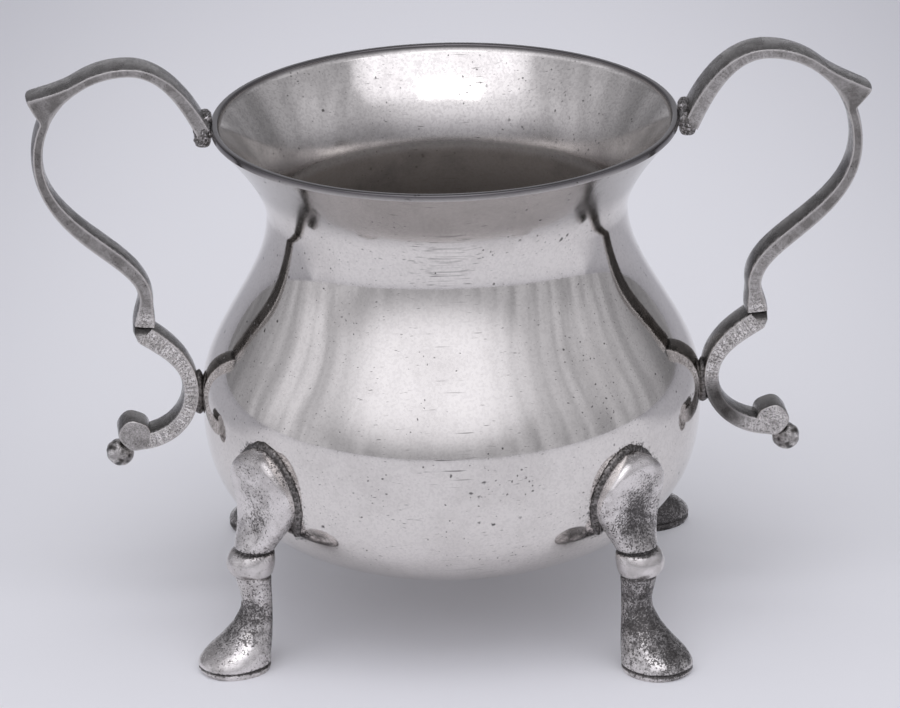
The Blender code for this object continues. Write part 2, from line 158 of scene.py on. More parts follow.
belly_out = belly_outline(BELLY_ROWS)
belly_in = belly_out + WALL * left_of(belly_out)
belly_in[0, 0] = 0.0
belly_in[-1] = (BELLY_RADIUS - WALL, BELLY_HEIGHT)
belly_side = np.repeat((0.0, 1.0), BELLY_ROWS)[:, None]
belly_wall = turned(np.concatenate((belly_out, belly_in[::-1])))
lower_body = skin("belly_cup", [(belly_wall, {"inside": belly_side})])


def feed(target, inputs):
    """Set or link named or numbered inputs of a shader node."""
    for name, value in dict(inputs).items():
        if isinstance(value, bpy.types.NodeSocket):
            target.id_data.links.new(value, target.inputs[name])
        else:
            target.inputs[name].default_value = value


def node(tree, kind, inputs=(), **settings):
    """Add a shader node, set its options and feed its inputs."""
    made = tree.nodes.new("ShaderNode" + kind)
    for option, value in settings.items():
        setattr(made, option, value)
    feed(made, inputs)
    return made


def ramp(value, low, high, to_low=0.0, to_high=1.0):
    """Smooth step of a value between two limits."""
    limits = {"Value": value, "From Min": low, "From Max": high, "To Min": to_low, "To Max": to_high}
    return node(value.id_data, "MapRange", limits, interpolation_type="SMOOTHSTEP").outputs["Result"]


def maths(operation, first, second):
    """One operation on two values, of which at least one comes from a node."""
    tree = getattr(first, "id_data", None) or second.id_data
    return node(tree, "Math", {0: first, 1: second}, operation=operation).outputs["Value"]


def times(first, second):
    """Product of two values."""
    return maths("MULTIPLY", first, second)


def plus(first, second):
    """Sum of two values."""
    return maths("ADD", first, second)


def minus(first, second):
    """Difference of two values."""
    return maths("SUBTRACT", first, second)


def vectors(operation, *values, **named):
    """Outputs of one operation on vectors."""
    inputs = dict(enumerate(values), **named)
    return node(values[0].id_data, "VectorMath", inputs, operation=operation).outputs


def noise(place, scale, detail, roughness=0.5):
    """Outputs of a noise texture at a place."""
    values = {"Vector": place, "Scale": scale, "Detail": detail, "Roughness": roughness}
    return node(place.id_data, "TexNoise", values).outputs


def marked(tree, name):
    """One of a mesh's own attributes."""
    return node(tree, "Attribute", attribute_name=name).outputs["Fac"]


def tint(share, low, high):
    """Mix of two colours by a mask."""
    return node(share.id_data, "Mix", {0: share, 6: low, 7: high}, data_type="RGBA").outputs[2]


def new_group(name, inputs, outputs):
    """An empty shader group with named values going in and out."""
    group = bpy.data.node_groups.new(name, "ShaderNodeTree")
    for side, labels in (("INPUT", inputs), ("OUTPUT", outputs)):
        for label in labels:
            group.interface.new_socket(label, in_out=side, socket_type="NodeSocketFloat")
    return group, group.nodes.new("NodeGroupInput").outputs, group.nodes.new("NodeGroupOutput")


WEAR_INPUTS = ("Patina", "Patina Scale", "Pits", "Pit Scale", "Grain Scale")
WEAR_OUTPUTS = ("Patina", "Pits", "Grain", "Specks")


def pewter_wear_group():
    """Patina clouds, small pits, fine grain and specks of old pewter, each with its own size and amount.
    A speck is a cell with a value of its own, roughened by the grain."""
    group, given, put = new_group("pewter_wear", WEAR_INPUTS, WEAR_OUTPUTS)
    place = node(group, "TexCoord").outputs["Object"]
    pit_scale, grain_scale = given["Pit Scale"], given["Grain Scale"]
    cloud = noise(place, given["Patina Scale"], 7.0, 0.62)["Fac"]
    edge = minus(0.78, times(given["Patina"], 0.56))
    patina = ramp(cloud, minus(edge, 0.10), plus(edge, 0.10))
    drift = noise(place, pit_scale, 2.0)["Color"]
    stride = vectors("SCALE", drift, Scale=maths("DIVIDE", 0.9, pit_scale))["Vector"]
    wander = vectors("ADD", stride, place)["Vector"]
    cells = node(group, "TexVoronoi", {"Vector": wander, "Scale": pit_scale})
    chosen = node(group, "SeparateColor", {"Color": cells.outputs["Color"]}).outputs["Red"]
    crowd = ramp(noise(place, times(pit_scale, 0.05), 2.0)["Fac"], 0.47, 0.68)
    sparse = minus(1.0, times(given["Pits"], crowd))
    wide = ramp(chosen, sparse, 1.0, 0.0, 0.40)
    pits = ramp(cells.outputs["Distance"], wide, times(wide, 0.35), 0.0, 1.0)
    grain = noise(place, grain_scale, 4.0, 0.65)["Fac"]
    crumbs = node(group, "TexVoronoi", {"Vector": place, "Scale": grain_scale})
    chance = node(group, "SeparateColor", {"Color": crumbs.outputs["Color"]}).outputs["Green"]
    specks = plus(times(chance, 0.5), times(grain, 0.5))
    feed(put, zip(WEAR_OUTPUTS, (patina, pits, grain, specks)))
    return group


SCRATCH_TURNS = ((0.2, 0.5, 0.1), (0.9, -0.3, 0.7), (-0.4, 0.2, 1.3))
SCRATCH_DRAWN = (60.0, 2600.0, 2600.0)


def scratch_group():
    """Hair scratches of use: noise drawn out along three directions, of which only the crests show."""
    group, given, put = new_group("hair_scratches", ("Amount",), ("Scratches",))
    place = node(group, "TexCoord").outputs["Object"]
    edge = minus(0.80, given["Amount"])
    total = None
    for turn in SCRATCH_TURNS:
        drawn = node(group, "Mapping", {"Vector": place, "Rotation": turn, "Scale": SCRATCH_DRAWN})
        crest = ramp(noise(drawn.outputs["Vector"], 1.0, 1.0)["Fac"], edge, 0.82)
        total = crest if total is None else maths("MAXIMUM", total, crest)
    feed(put, {"Scratches": total})
    return group


pewter_wear = pewter_wear_group()
hair_scratches = scratch_group()


def wear(tree, *amounts):
    """Place the wear group in a material, with the amounts in the order of the group's inputs."""
    return node(tree, "Group", zip(WEAR_INPUTS, amounts), node_tree=pewter_wear).outputs


def blank(name):
    """A new material, with its node tree and its shader."""
    made = bpy.data.materials.new(name)
    made.use_nodes = True
    return made, made.node_tree, made.node_tree.nodes["Principled BSDF"]


def dressed(shader, colour, rough, height, strength, relief, sunk=True, metallic=1.0):
    """Feed a metal's colour, roughness and relief to its shader. What is high is sunk or stands proud."""
    values = {"Height": height, "Strength": strength, "Distance": relief}
    normal = node(shader.id_data, "Bump", values, invert=sunk).outputs["Normal"]
    feed(shader, {"Metallic": metallic, "Base Color": colour, "Roughness": rough, "Normal": normal})


KNOCK_PLACE = (-0.001, -0.034, 0.081)
KNOCK_REACH = 0.011
SCRATCHES_APART, SCRATCHES_THICK = 0.085, 0.24
BODY_RELIEF = 0.00004


def polished_pewter():
    """Soft mirror: faint tarnish clouds, clustered pits, fine grain and hair scratches. The inside of the
    neck is duller and darkened by painted shade, the inside of the belly is brown and dull, and soot lies
    beside the solder, carried on past the knees as a painted reflection of the feet."""
    made, tree, shader = blank("polished_pewter")
    patina, pits, grain, specks = wear(tree, 0.42, 75.0, 0.30, 1500.0, 2400.0)
    holes = wear(tree, 0.0, 75.0, 0.12, 800.0, 2400.0)["Pits"]
    place = node(tree, "TexCoord").outputs["Object"]
    away = vectors("DISTANCE", place, KNOCK_PLACE)["Value"]
    knocked = ramp(away, KNOCK_REACH, 0.0, SCRATCHES_APART, SCRATCHES_THICK)
    scratched = node(tree, "Group", {"Amount": knocked}, node_tree=hair_scratches).outputs["Scratches"]
    inside, dulled, soot_and_painted_reflection = (marked(tree, name) for name in ("inside", "dulled", "soot_and_painted_reflection"))
    bright = tint(times(patina, 0.30), (0.82, 0.787, 0.755, 1), (0.58, 0.55, 0.525, 1))
    grit = times(ramp(specks, 0.40, 0.72, 0.0, 0.18), ramp(inside, 0.0, 0.5, 1.0, 2.0))
    grained = tint(grit, bright, (0.46, 0.435, 0.425, 1))
    # Darker and duller on the lip and the flare's outside, and darkened by painted shade inside about the
    # neck.
    clean = tint(dulled, grained, (0.14, 0.132, 0.136, 1))
    flecked = tint(times(scratched, 0.78), clean, (0.15, 0.142, 0.14, 1))
    pits = maths("MAXIMUM", pits, holes)
    pitted = tint(times(pits, 0.88), flecked, (0.07, 0.066, 0.066, 1))
    # Soot beside the knees' solder darkens the belly, and past the knees' lower ends the mark goes on as a
    # painted reflection of the feet.
    soot_and_reflection_spread = plus(soot_and_painted_reflection, times(minus(specks, 0.5), 0.9))
    with_soot_and_reflection = tint(ramp(soot_and_reflection_spread, 0.42, 0.80, 0.0, 0.85), pitted, (0.10, 0.094, 0.095, 1))
    deep = ramp(inside, 0.5, 1.0)
    brown = tint(patina, (0.19, 0.160, 0.137, 1), (0.13, 0.108, 0.092, 1))
    colour = tint(times(deep, 0.85), with_soot_and_reflection, brown)
    rough = ramp(patina, 0.0, 1.0, 0.045, 0.10)
    for mask, share in ((scratched, 0.12), (inside, 0.10), (deep, 0.46), (dulled, 0.14), (soot_and_painted_reflection, 0.12)):
        rough = plus(rough, times(mask, share))
    height = minus(times(grain, 0.16), plus(pits, times(scratched, 0.12)))
    metallic = ramp(deep, 0.0, 1.0, 1.0, 0.25)
    dressed(shader, colour, rough, height, 0.5, BODY_RELIEF, sunk=False, metallic=metallic)
    return made


body_finish = polished_pewter()
fitted(lower_body, "lower_body", body_finish)


# Upper body
# The shoulder, neck and flared mouth, cast and turned like the belly, with a flat lip rolled at the rim.
# It is soldered to the belly cup at the widest line.
NECK_RADIUS = 0.0337
NECK_HEIGHT = 0.0788
RIM_RADIUS = 0.0435
RIM_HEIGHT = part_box("upper_body")[1][2]
LIP_HEIGHT = 0.0012
LIP_WIDTH = 0.0013
RIM_WALL = 0.0011
LIP_ROUND = 0.0004
SHOULDER_SWELL = 0.92
FLARE_CURVE = 1.6
SHOULDER_ROWS = 90
FLARE_ROWS = 50
LIP_ROWS = 7
FLARE_DULL, LIP_DULL, INSIDE_DULL, NECK_PAINTED_SHADE = 0.48, 0.97, 0.06, 0.52
FLARE_DULL_FROM, FLARE_DULL_RISE = 0.003, 0.006
NECK_PAINTED_SHADE_AT, NECK_PAINTED_SHADE_HALF = 0.0035, 0.0035
DEEP_FROM, DEEP_FALL = 0.0034, 0.005


def bowl_radius(height):
    """Outside radius of the bowl at any heights: superellipse belly, cosine shoulder, power-curve flare."""
    drop = way(height, BELLY_HEIGHT, BASE_HEIGHT)
    belly = BELLY_RADIUS * (1.0 - drop ** BELLY_FULLNESS) ** (1.0 / BELLY_FULLNESS)
    rise = way(height, BELLY_HEIGHT, NECK_HEIGHT)
    shoulder = BELLY_RADIUS + (NECK_RADIUS - BELLY_RADIUS) * eased(rise ** SHOULDER_SWELL)
    open_up = way(height, NECK_HEIGHT, RIM_HEIGHT - LIP_HEIGHT)
    flare = NECK_RADIUS + (RIM_RADIUS - NECK_RADIUS) * open_up ** FLARE_CURVE
    return np.where(height <= BELLY_HEIGHT, belly, np.where(height <= NECK_HEIGHT, shoulder, flare))


def corner(middle_radius, middle_height, first, last):
    """Quarter round of the lip about a middle point, between two directions."""
    turn = np.linspace(first, last, LIP_ROWS)
    return (middle_radius, middle_height) + LIP_ROUND * np.stack((np.cos(turn), np.sin(turn)), axis=1)


def bell(value, middle, half, power=2):
    """1 at the middle, and falling off past a half width on both sides, by a power of the distance."""
    return np.exp(-((value - middle) / half) ** power)


wall_heights = np.concatenate((np.linspace(BELLY_HEIGHT, NECK_HEIGHT, SHOULDER_ROWS),
                               np.linspace(NECK_HEIGHT, RIM_HEIGHT - LIP_HEIGHT, FLARE_ROWS)[1:]))
wall_out = np.stack((bowl_radius(wall_heights), wall_heights), axis=1)
wall_thick = WALL + (RIM_WALL - WALL) * eased(way(wall_heights, NECK_HEIGHT, RIM_HEIGHT))
wall_in = wall_out + wall_thick[:, None] * left_of(wall_out)
wall_in[0] = (BELLY_RADIUS - WALL, BELLY_HEIGHT)
lip_top = RIM_HEIGHT - LIP_ROUND
lip_outside = corner(RIM_RADIUS - LIP_ROUND, lip_top, 0.0, 0.5 * np.pi)
lip_inside = corner(RIM_RADIUS - LIP_WIDTH + LIP_ROUND, lip_top, 0.5 * np.pi, np.pi)
wall_in = wall_in[(wall_in[:, 1] < lip_top - LIP_ROUND) & (wall_in[:, 0] < RIM_RADIUS - LIP_WIDTH)]
upper_outline = np.concatenate((wall_out, lip_outside, lip_inside, wall_in[::-1]))
above_neck = wall_in[::-1, 1] - NECK_HEIGHT
deep = 0.5 + 0.5 * eased((DEEP_FROM - above_neck) / DEEP_FALL)
flare_dull = FLARE_DULL * eased((wall_heights - NECK_HEIGHT - FLARE_DULL_FROM) / FLARE_DULL_RISE)
# Inside, a bell of painted shade darkens the wall about the neck.
inside_dull_and_shade = INSIDE_DULL + NECK_PAINTED_SHADE * bell(above_neck, NECK_PAINTED_SHADE_AT, NECK_PAINTED_SHADE_HALF)
lip_rows = 2 * LIP_ROWS
upper_marks = {"inside": np.concatenate((np.zeros(len(wall_out) + lip_rows), deep)),
               "dulled": np.concatenate((flare_dull, np.full(lip_rows, LIP_DULL), inside_dull_and_shade))}
upper_marks = {mark: np.append(values, values[0])[:, None] for mark, values in upper_marks.items()}
upper_grid = turned(np.concatenate((upper_outline, upper_outline[:1])))
upper_body = skin("neck_and_mouth", [(upper_grid, upper_marks)])
fitted(upper_body, "upper_body", body_finish)


# Seam solder
# The ring of tin solder that joins the two cups. Outside it is turned flush and can't be seen,
# and inside it shows as a low bead on the wall.
SEAM_HALF = 0.0007
SEAM_PROUD = 0.00014
SEAM_ROWS = 13
SOLDER_RELIEF = 0.00018


def tin_solder():
    """Dull tin, lumpy and dark in its hollows, with brighter specks where it was rubbed. Where the tarnish
    mark is 1 it is dark all over."""
    made, tree, shader = blank("tin_solder")
    patina, pits, _, specks = wear(tree, 0.50, 900.0, 0.5, 1500.0, 3000.0)
    tarnish = marked(tree, "tarnish")
    crumb = ramp(specks, 0.30, 0.66)
    bright = tint(crumb, (0.72, 0.69, 0.69, 1), (0.10, 0.095, 0.09, 1))
    mottled = tint(times(patina, 0.7), bright, (0.16, 0.15, 0.14, 1))
    pitted = tint(pits, mottled, (0.04, 0.037, 0.035, 1))
    dull = tint(crumb, (0.22, 0.205, 0.196, 1), (0.085, 0.079, 0.075, 1))
    colour = tint(tarnish, pitted, dull)
    height = plus(crumb, times(pits, 0.6))
    lumpy = ramp(tarnish, 0.0, 1.0, 0.8, 0.15)
    rough = ramp(patina, 0.0, 1.0, 0.28, 0.52)
    dressed(shader, colour, rough, height, lumpy, SOLDER_RELIEF)
    return made


solder_finish = tin_solder()
seam_turn = np.linspace(0.0, 2.0 * np.pi, SEAM_ROWS)
seam_outline = np.stack((BELLY_RADIUS - WALL - SEAM_PROUD * np.cos(seam_turn),
                         BELLY_HEIGHT + SEAM_HALF * np.sin(seam_turn)), axis=1)
seam_outline[-1] = seam_outline[0]
seam_solder = skin("seam_bead", [(turned(seam_outline), {"tarnish": 0.8})])
fitted(seam_solder, "belly_seam_solder", solder_finish)


# Handles
# One pewter casting each: a strap that arches from the rim to a thumb rest, loops down to a block,
# and ends below it in a scroll with a volute and a ball. The flat sides were filed after casting.
ARCH_HALF_DEPTH, STRAP_HALF_DEPTH = 0.0038, 0.00315
STRAP_ARRIS = 0.00016
OUTER_CROWN, INNER_CROWN, CROWN_LIMIT = 0.12, 0.08, 0.00026
STRAP_AT_LOOP, STRAP_AT_WAIST = 0.0022, 0.0029
TIP_PINCH, TIP_ROUND = 0.0005, 0.04
SPUR_POWER, SPUR_END, SPUR_SOFT = 2.1, 0.82, 4
CLIMB_PULLS, ROUND_PULL, FALL_PULLS = ((0.22, 0.50), (0.48, 0.0)), 0.5523, (0.51, 0.34)
STEP_PULL, JOINT_PULLS, FOOT_PULL = (0.45, 0.22), (0.50, 0.55), 0.60
CLIMB_ROWS, ROUND_ROWS, FALL_ROWS, WAIST_ROWS = 40, (20, 101, 12), 60, 14
STEP_ROWS, SCROLL_ROWS = 9, 50
FACE_POINTS, SIDE_POINTS = 15, 5
# Painted shade along the scroll below the joint, on the handle whose dip is 1.
DIP_AT, DIP_HALF, DIP_SHADE = 0.35, 0.33, 0.45
HANDLE_SKEW = 0.09
TOP_WORN = (0.14, 0.10, 0.05, 0.0, 0.0)
BLOCK_WIDTH = 0.0042
JOINT_HEIGHT = 0.0442
BLOCK_OUT, BLOCK_RISE = 0.0105, 0.0131
WAIST_IN, WAIST_RISE = 0.0005, 0.0052
STEP_DEPTH, STEP_HEIGHT = 0.0014, 0.0018
SCROLL_AT_JOINT, SCROLL_AT_FOOT = 0.0032, 0.0035
VOLUTE_OUT, VOLUTE_DROP, VOLUTE_RADIUS = 0.0131, 0.0088, 0.00305
VOLUTE_EDGE, VOLUTE_DOME = 0.00035, 0.0002
VOLUTE_ROWS, VOLUTE_SIDES, VOLUTE_WEAR_AND_HIGHLIGHT_ROWS = 6, 48, 3
VOLUTE_WAVES = ((2.0, 1.1, 0.045), (5.0, 0.0, 0.025))
BALL_RADIUS, BALL_SINK, BALL_TURN = 0.0026, 0.0005, math.radians(-56)
BALL_SEED, BALL_ROUGHNESS, BALL_KNOTS, BALL_SHARP = 3, 0.045, 150, 70.0
BALL_FILED, BALL_FILED_SWELL = 0.45, 1.1
BALL_DARK, BALL_DARK_SWELL, BALL_DARKEST = -0.25, -0.9, 0.8
LUMP_ROWS, LUMP_SIDES = 41, 80
HANDLE_SHAPES = {
    "left": dict(side=-1.0, rim=(0.0013, -0.0016), arch=(0.0152, 0.0112), loop=(0.0325, -0.0060),
                 thick=(0.0031, 0.0019), spur=0.0043, leaves=0.34, tip=0.645, returns=0.728, fuller=0.0007,
                 upper_rubbed=(0.30, 0.28, 0.12, 0.30, 1.0), rubbed=(1.0, 1.0, 0.95, 0.95), dip=0.0,
                 volute=0.50, clear=0.0006),
    "right": dict(side=1.0, rim=(0.0017, -0.0020), arch=(0.0163, 0.0119), loop=(0.0328, -0.0058),
                  thick=(0.0033, 0.0022), spur=0.0042, leaves=0.40, tip=0.712, returns=0.775, fuller=0.0004,
                  upper_rubbed=(0.42, 0.38, 0.16, 0.40, 1.0), rubbed=(1.0, 1.0, 0.90, 0.80), dip=1.0,
                  volute=0.95, clear=0.0001),
}


def cubic(start, start_pull, end_pull, end, share):
    """Cubic curve between two points with two pulls, at given shares of its length."""
    far = share[:, None]
    near = 1.0 - far
    return (start * near ** 3 + 3.0 * start_pull * near ** 2 * far
            + 3.0 * end_pull * near * far ** 2 + end * far ** 3)


def capped(grid):
    """Close both ends of a tube of rows by a point in the middle of each end row."""
    ends = [np.broadcast_to(row.mean(axis=0), row.shape)[None] for row in (grid[0], grid[-1])]
    return np.concatenate((ends[0], grid, ends[1]))


def strap(spine, outer, inner, half_depth, pinch, rubbed, worn, shade):
    """Carry a strap's section along a spine in the handle's plane. The section has flat sides, a domed
    face at the outer and at the inner distance from the spine, and rounded arrises between them.
    The outer face is narrower than the rest by the pinch. The sides are filed as far as they are rubbed,
    the outer face as far as it is worn, and neither where painted shade lies. The run mark is the distance
    along the spine."""
    normal = left_of(spine)
    face = np.linspace(-1.0, 1.0, FACE_POINTS)
    flank = np.linspace(0.0, 1.0, SIDE_POINTS + 2)[1:-1]
    arc = np.linspace(0.5 * np.pi, 0.0, SIDE_POINTS)
    flat = half_depth - STRAP_ARRIS
    outer_drop = np.minimum(OUTER_CROWN * (outer + inner), CROWN_LIMIT)
    inner_drop = np.minimum(INNER_CROWN * (outer + inner), CROWN_LIMIT)
    top, low = outer - outer_drop - STRAP_ARRIS, inner_drop + STRAP_ARRIS - inner
    tip = flat - pinch
    depth = [np.outer(tip, face), tip[:, None] + STRAP_ARRIS * np.cos(arc),
             np.outer(half_depth - pinch, 1.0 - flank) + np.outer(half_depth, flank),
             flat[:, None] + STRAP_ARRIS * np.cos(arc[::-1]), np.outer(flat, -face)]
    depth += [-part[:, ::-1] for part in depth[3:0:-1]]
    rise = [outer[:, None] - np.outer(outer_drop, face ** 2), top[:, None] + STRAP_ARRIS * np.sin(arc),
            top[:, None] + np.outer(low - top, flank), low[:, None] - STRAP_ARRIS * np.sin(arc[::-1]),
            np.outer(inner_drop, face ** 2) - inner[:, None]]
    rise += [part[:, ::-1] for part in rise[3:0:-1]]
    depth, rise = np.concatenate(depth, axis=1), np.concatenate(rise, axis=1)
    out, up = (spine[:, [axis]] + normal[:, [axis]] * rise for axis in (0, 1))
    grid = np.stack((out, depth, up), axis=-1)
    sizes = (FACE_POINTS, SIDE_POINTS, SIDE_POINTS, SIDE_POINTS) * 2
    # The arrises are rubbed bright with a painted highlight, which painted shade puts out.
    arris = np.repeat((0.0, 1.0, 0.0, 1.0) * 2, sizes)
    filed = np.repeat((0.0, 0.5, 1.0, 0.5) * 2, sizes)
    top_face = np.repeat((1.0,) + (0.0,) * 7, sizes)
    run = np.append(0.0, np.cumsum(np.linalg.norm(np.diff(spine, axis=0), axis=1)))
    rubbed, worn, shade, run = (np.pad(row, 1, mode="edge")[:, None] for row in (rubbed, worn, shade, run))
    filed = (filed * rubbed + top_face * worn) * (1.0 - shade)
    return capped(grid), {"arris": arris * (1.0 - shade), "filed": filed, "recess": shade, "run": run}


def joined(runs):
    """Runs end to end. Each begins at the last point of the one before it, which is kept once."""
    return np.concatenate(runs[:1] + [run[1:] for run in runs[1:]])


def changing(values, shares):
    """A value along a run of stretches, eased from one of the given values to the next."""
    return joined([low + (high - low) * eased(share)
                   for low, high, share in zip(values, values[1:], shares)])


def on_stretch(number, values, shares):
    """Values along one of the stretches of a run, and 0 along the others."""
    return joined([values if order == number else np.zeros(len(share))
                   for order, share in enumerate(shares)])


def softened(values, reach):
    """Values averaged with their neighbours as far as the reach on both sides, nearer ones more."""
    weights = np.hanning(2 * reach + 3)
    return np.convolve(np.pad(values, reach, mode="edge"), weights[1:-1] / weights.sum(), mode="valid")


belly_face = float(bowl_radius(np.array(JOINT_HEIGHT)))
block_end = np.array((belly_face + BLOCK_OUT, JOINT_HEIGHT + BLOCK_RISE))
volute_middle = np.array((belly_face + VOLUTE_OUT, JOINT_HEIGHT - VOLUTE_DROP))


def upper_strap(shape):
    """From the rim over the arch, the thumb rest and the loop down to the block. The thumb rest is the
    outer distance swelling by a power curve to its tip, and falling back in a straight slope. Below the
    loop the outer distance is a little fuller, by a squared sine."""
    rim, arch, loop = (np.array((RIM_RADIUS, RIM_HEIGHT)) + shape[key] for key in ("rim", "arch", "loop"))
    waist = block_end + (-WAIST_IN, WAIST_RISE)
    climb, quarter, fall = arch - rim, loop - arch, loop[1] - waist[1]
    ends = (0.0, shape["leaves"], SPUR_END, 1.0)
    over = joined([np.linspace(*part) for part in zip(ends, ends[1:], ROUND_ROWS)])
    up, down, low = (np.linspace(0.0, 1.0, rows) for rows in (CLIMB_ROWS, FALL_ROWS, WAIST_ROWS))
    shares = [up, over, down, low]
    spine = joined([
        cubic(rim, rim + CLIMB_PULLS[0] * climb, arch - CLIMB_PULLS[1] * climb, arch, up),
        cubic(arch, arch + (ROUND_PULL, 0.0) * quarter, loop - (0.0, ROUND_PULL) * quarter, loop, over),
        cubic(loop, loop - (0.0, FALL_PULLS[0] * fall), waist + (0.0, FALL_PULLS[1] * fall), waist, down),
        waist + (block_end - waist) * low[:, None]])
    half = 0.5 * changing(shape["thick"] + (STRAP_AT_LOOP, STRAP_AT_WAIST, BLOCK_WIDTH), shares)
    depth = changing((ARCH_HALF_DEPTH,) * 2 + (STRAP_HALF_DEPTH,) * 3, shares)
    swell = way(over, shape["leaves"], shape["tip"]) ** SPUR_POWER
    drop = way(over, shape["returns"], shape["tip"])
    spur = softened(on_stretch(1, shape["spur"] * np.minimum(swell, drop), shares), SPUR_SOFT)
    near_tip = np.minimum(way(over, shape["tip"] - TIP_ROUND, shape["tip"]), drop)
    pinch = on_stretch(1, TIP_PINCH * near_tip ** 2, shares)
    fuller = on_stretch(2, shape["fuller"] * np.sin(np.pi * down) ** 2, shares)
    rubbed, worn = changing(shape["upper_rubbed"], shares), changing(TOP_WORN, shares)
    return strap(spine, half + spur + fuller, half, depth, pinch, rubbed, worn, np.zeros(len(half)))


def lower_strap(shape):
    """From under the block, where its sides slope in to a step, round the joint, where it stands clear of
    the belly, and out to the volute."""
    step = block_end - (0.0, STEP_HEIGHT)
    joint = np.array((belly_face + shape["clear"] + 0.5 * SCROLL_AT_JOINT, JOINT_HEIGHT))
    foot = volute_middle - (0.0, VOLUTE_RADIUS - 0.5 * SCROLL_AT_FOOT)
    above, below, ahead = step - joint, joint[1] - foot[1], foot[0] - joint[0]
    over_joint, under_joint = (0.0, JOINT_PULLS[0] * above[1]), (0.0, JOINT_PULLS[1] * below)
    shares = [np.linspace(0.0, 1.0, rows) for rows in (STEP_ROWS, SCROLL_ROWS, SCROLL_ROWS)]
    spine = joined([
        cubic(block_end, block_end, step, step, shares[0]),
        cubic(step, step - STEP_PULL * above, joint + over_joint, joint, shares[1]),
        cubic(joint, joint - under_joint, foot - (FOOT_PULL * ahead, 0.0), foot, shares[2])])
    half = 0.5 * changing((BLOCK_WIDTH, BLOCK_WIDTH, SCROLL_AT_JOINT, SCROLL_AT_FOOT), shares)
    depth = np.full(len(half), STRAP_HALF_DEPTH)
    depth[:len(shares[0])] -= STEP_DEPTH * (1.0 - shares[0])
    # Painted shadow on the step under the block, and painted shade along the scroll where it dips.
    shade = np.zeros(len(half))
    shade[:len(shares[0])] = 1.0 - shares[0] ** 4
    rubbed = changing(shape["rubbed"], shares)
    dip = shape["dip"] * bell(shares[2], DIP_AT, DIP_HALF, 4)
    rubbed[-len(shares[2]):] *= 1.0 - dip
    shade[-len(shares[2]):] = DIP_SHADE * dip
    return strap(spine, half, half, depth, np.zeros(len(half)), rubbed, np.zeros(len(half)), shade)


def volute(rubbed):
    """A boss across the handle, a little out of round: flat faces, slightly domed, with rounded edges."""
    arc = np.linspace(0.0, 0.5 * np.pi, VOLUTE_ROWS)
    flat = np.linspace(0.0, VOLUTE_RADIUS - VOLUTE_EDGE, VOLUTE_ROWS)
    dome = VOLUTE_DOME * (1.0 - (flat / flat[-1]) ** 2)
    reach = joined([flat, flat[-1] + VOLUTE_EDGE * np.sin(arc)])
    level = STRAP_HALF_DEPTH + joined([dome, -VOLUTE_EDGE * (1.0 - np.cos(arc))])
    face = rubbed * np.repeat((1.0, 0.0), (VOLUTE_ROWS, VOLUTE_ROWS - 1))
    # Edge rows beside the face are rubbed bright with a painted highlight.
    edge = np.repeat((0.0, 1.0, 0.0), (VOLUTE_ROWS, VOLUTE_WEAR_AND_HIGHLIGHT_ROWS, VOLUTE_ROWS - 1 - VOLUTE_WEAR_AND_HIGHLIGHT_ROWS))
    reach, filed, arris = (np.concatenate((row, row[::-1]))[:, None] for row in (reach, face, edge))
    level = np.concatenate((-level, level[::-1]))[:, None]
    turn = full_turn(VOLUTE_SIDES)
    uneven = 1.0 + sum(size * np.cos(count * turn - start) for count, start, size in VOLUTE_WAVES)
    grid = placed(reach * uneven, turn, level)[..., (0, 2, 1)]
    return grid + (volute_middle[0], 0.0, volute_middle[1]), {"filed": filed, "arris": arris}


def lump(middle, radii, seed, roughness, squareness=2.0, count=40, sharp=22.0):
    """A rough ball or rounded block: a superellipsoid whose reach swells near some random directions.
    Returns the surface, and how far it swells at each point."""
    draw = np.random.default_rng(seed)
    rise = np.linspace(-0.5 * np.pi, 0.5 * np.pi, LUMP_ROWS)[:, None]
    aim = placed(np.cos(rise), full_turn(LUMP_SIDES), np.sin(rise))
    knobs = unit(draw.normal(size=(count, 3)))
    heights = draw.uniform(-1.0, 1.0, count)
    swell = (heights * np.exp(-sharp * (1.0 - aim @ knobs.T))).sum(axis=-1, keepdims=True)
    block = (np.abs(aim) ** squareness).sum(axis=-1, keepdims=True) ** (-1.0 / squareness)
    return middle + radii * aim * block * (1.0 + roughness * swell), swell[..., 0]


def mirrored(surfaces, side, skew=0.0):
    """Surfaces of a handle on the +X side, or turned to the -X side, leaning across by a share of the
    depth."""
    return [(grid * (side, 1.0, 1.0) - grid[..., 1:2] * (skew, 0.0, 0.0), values)
            for grid, values in surfaces]


FILE_STROKES, FILE_WANDER = 1500.0, 0.0012
CAST_RELIEF = 0.00012


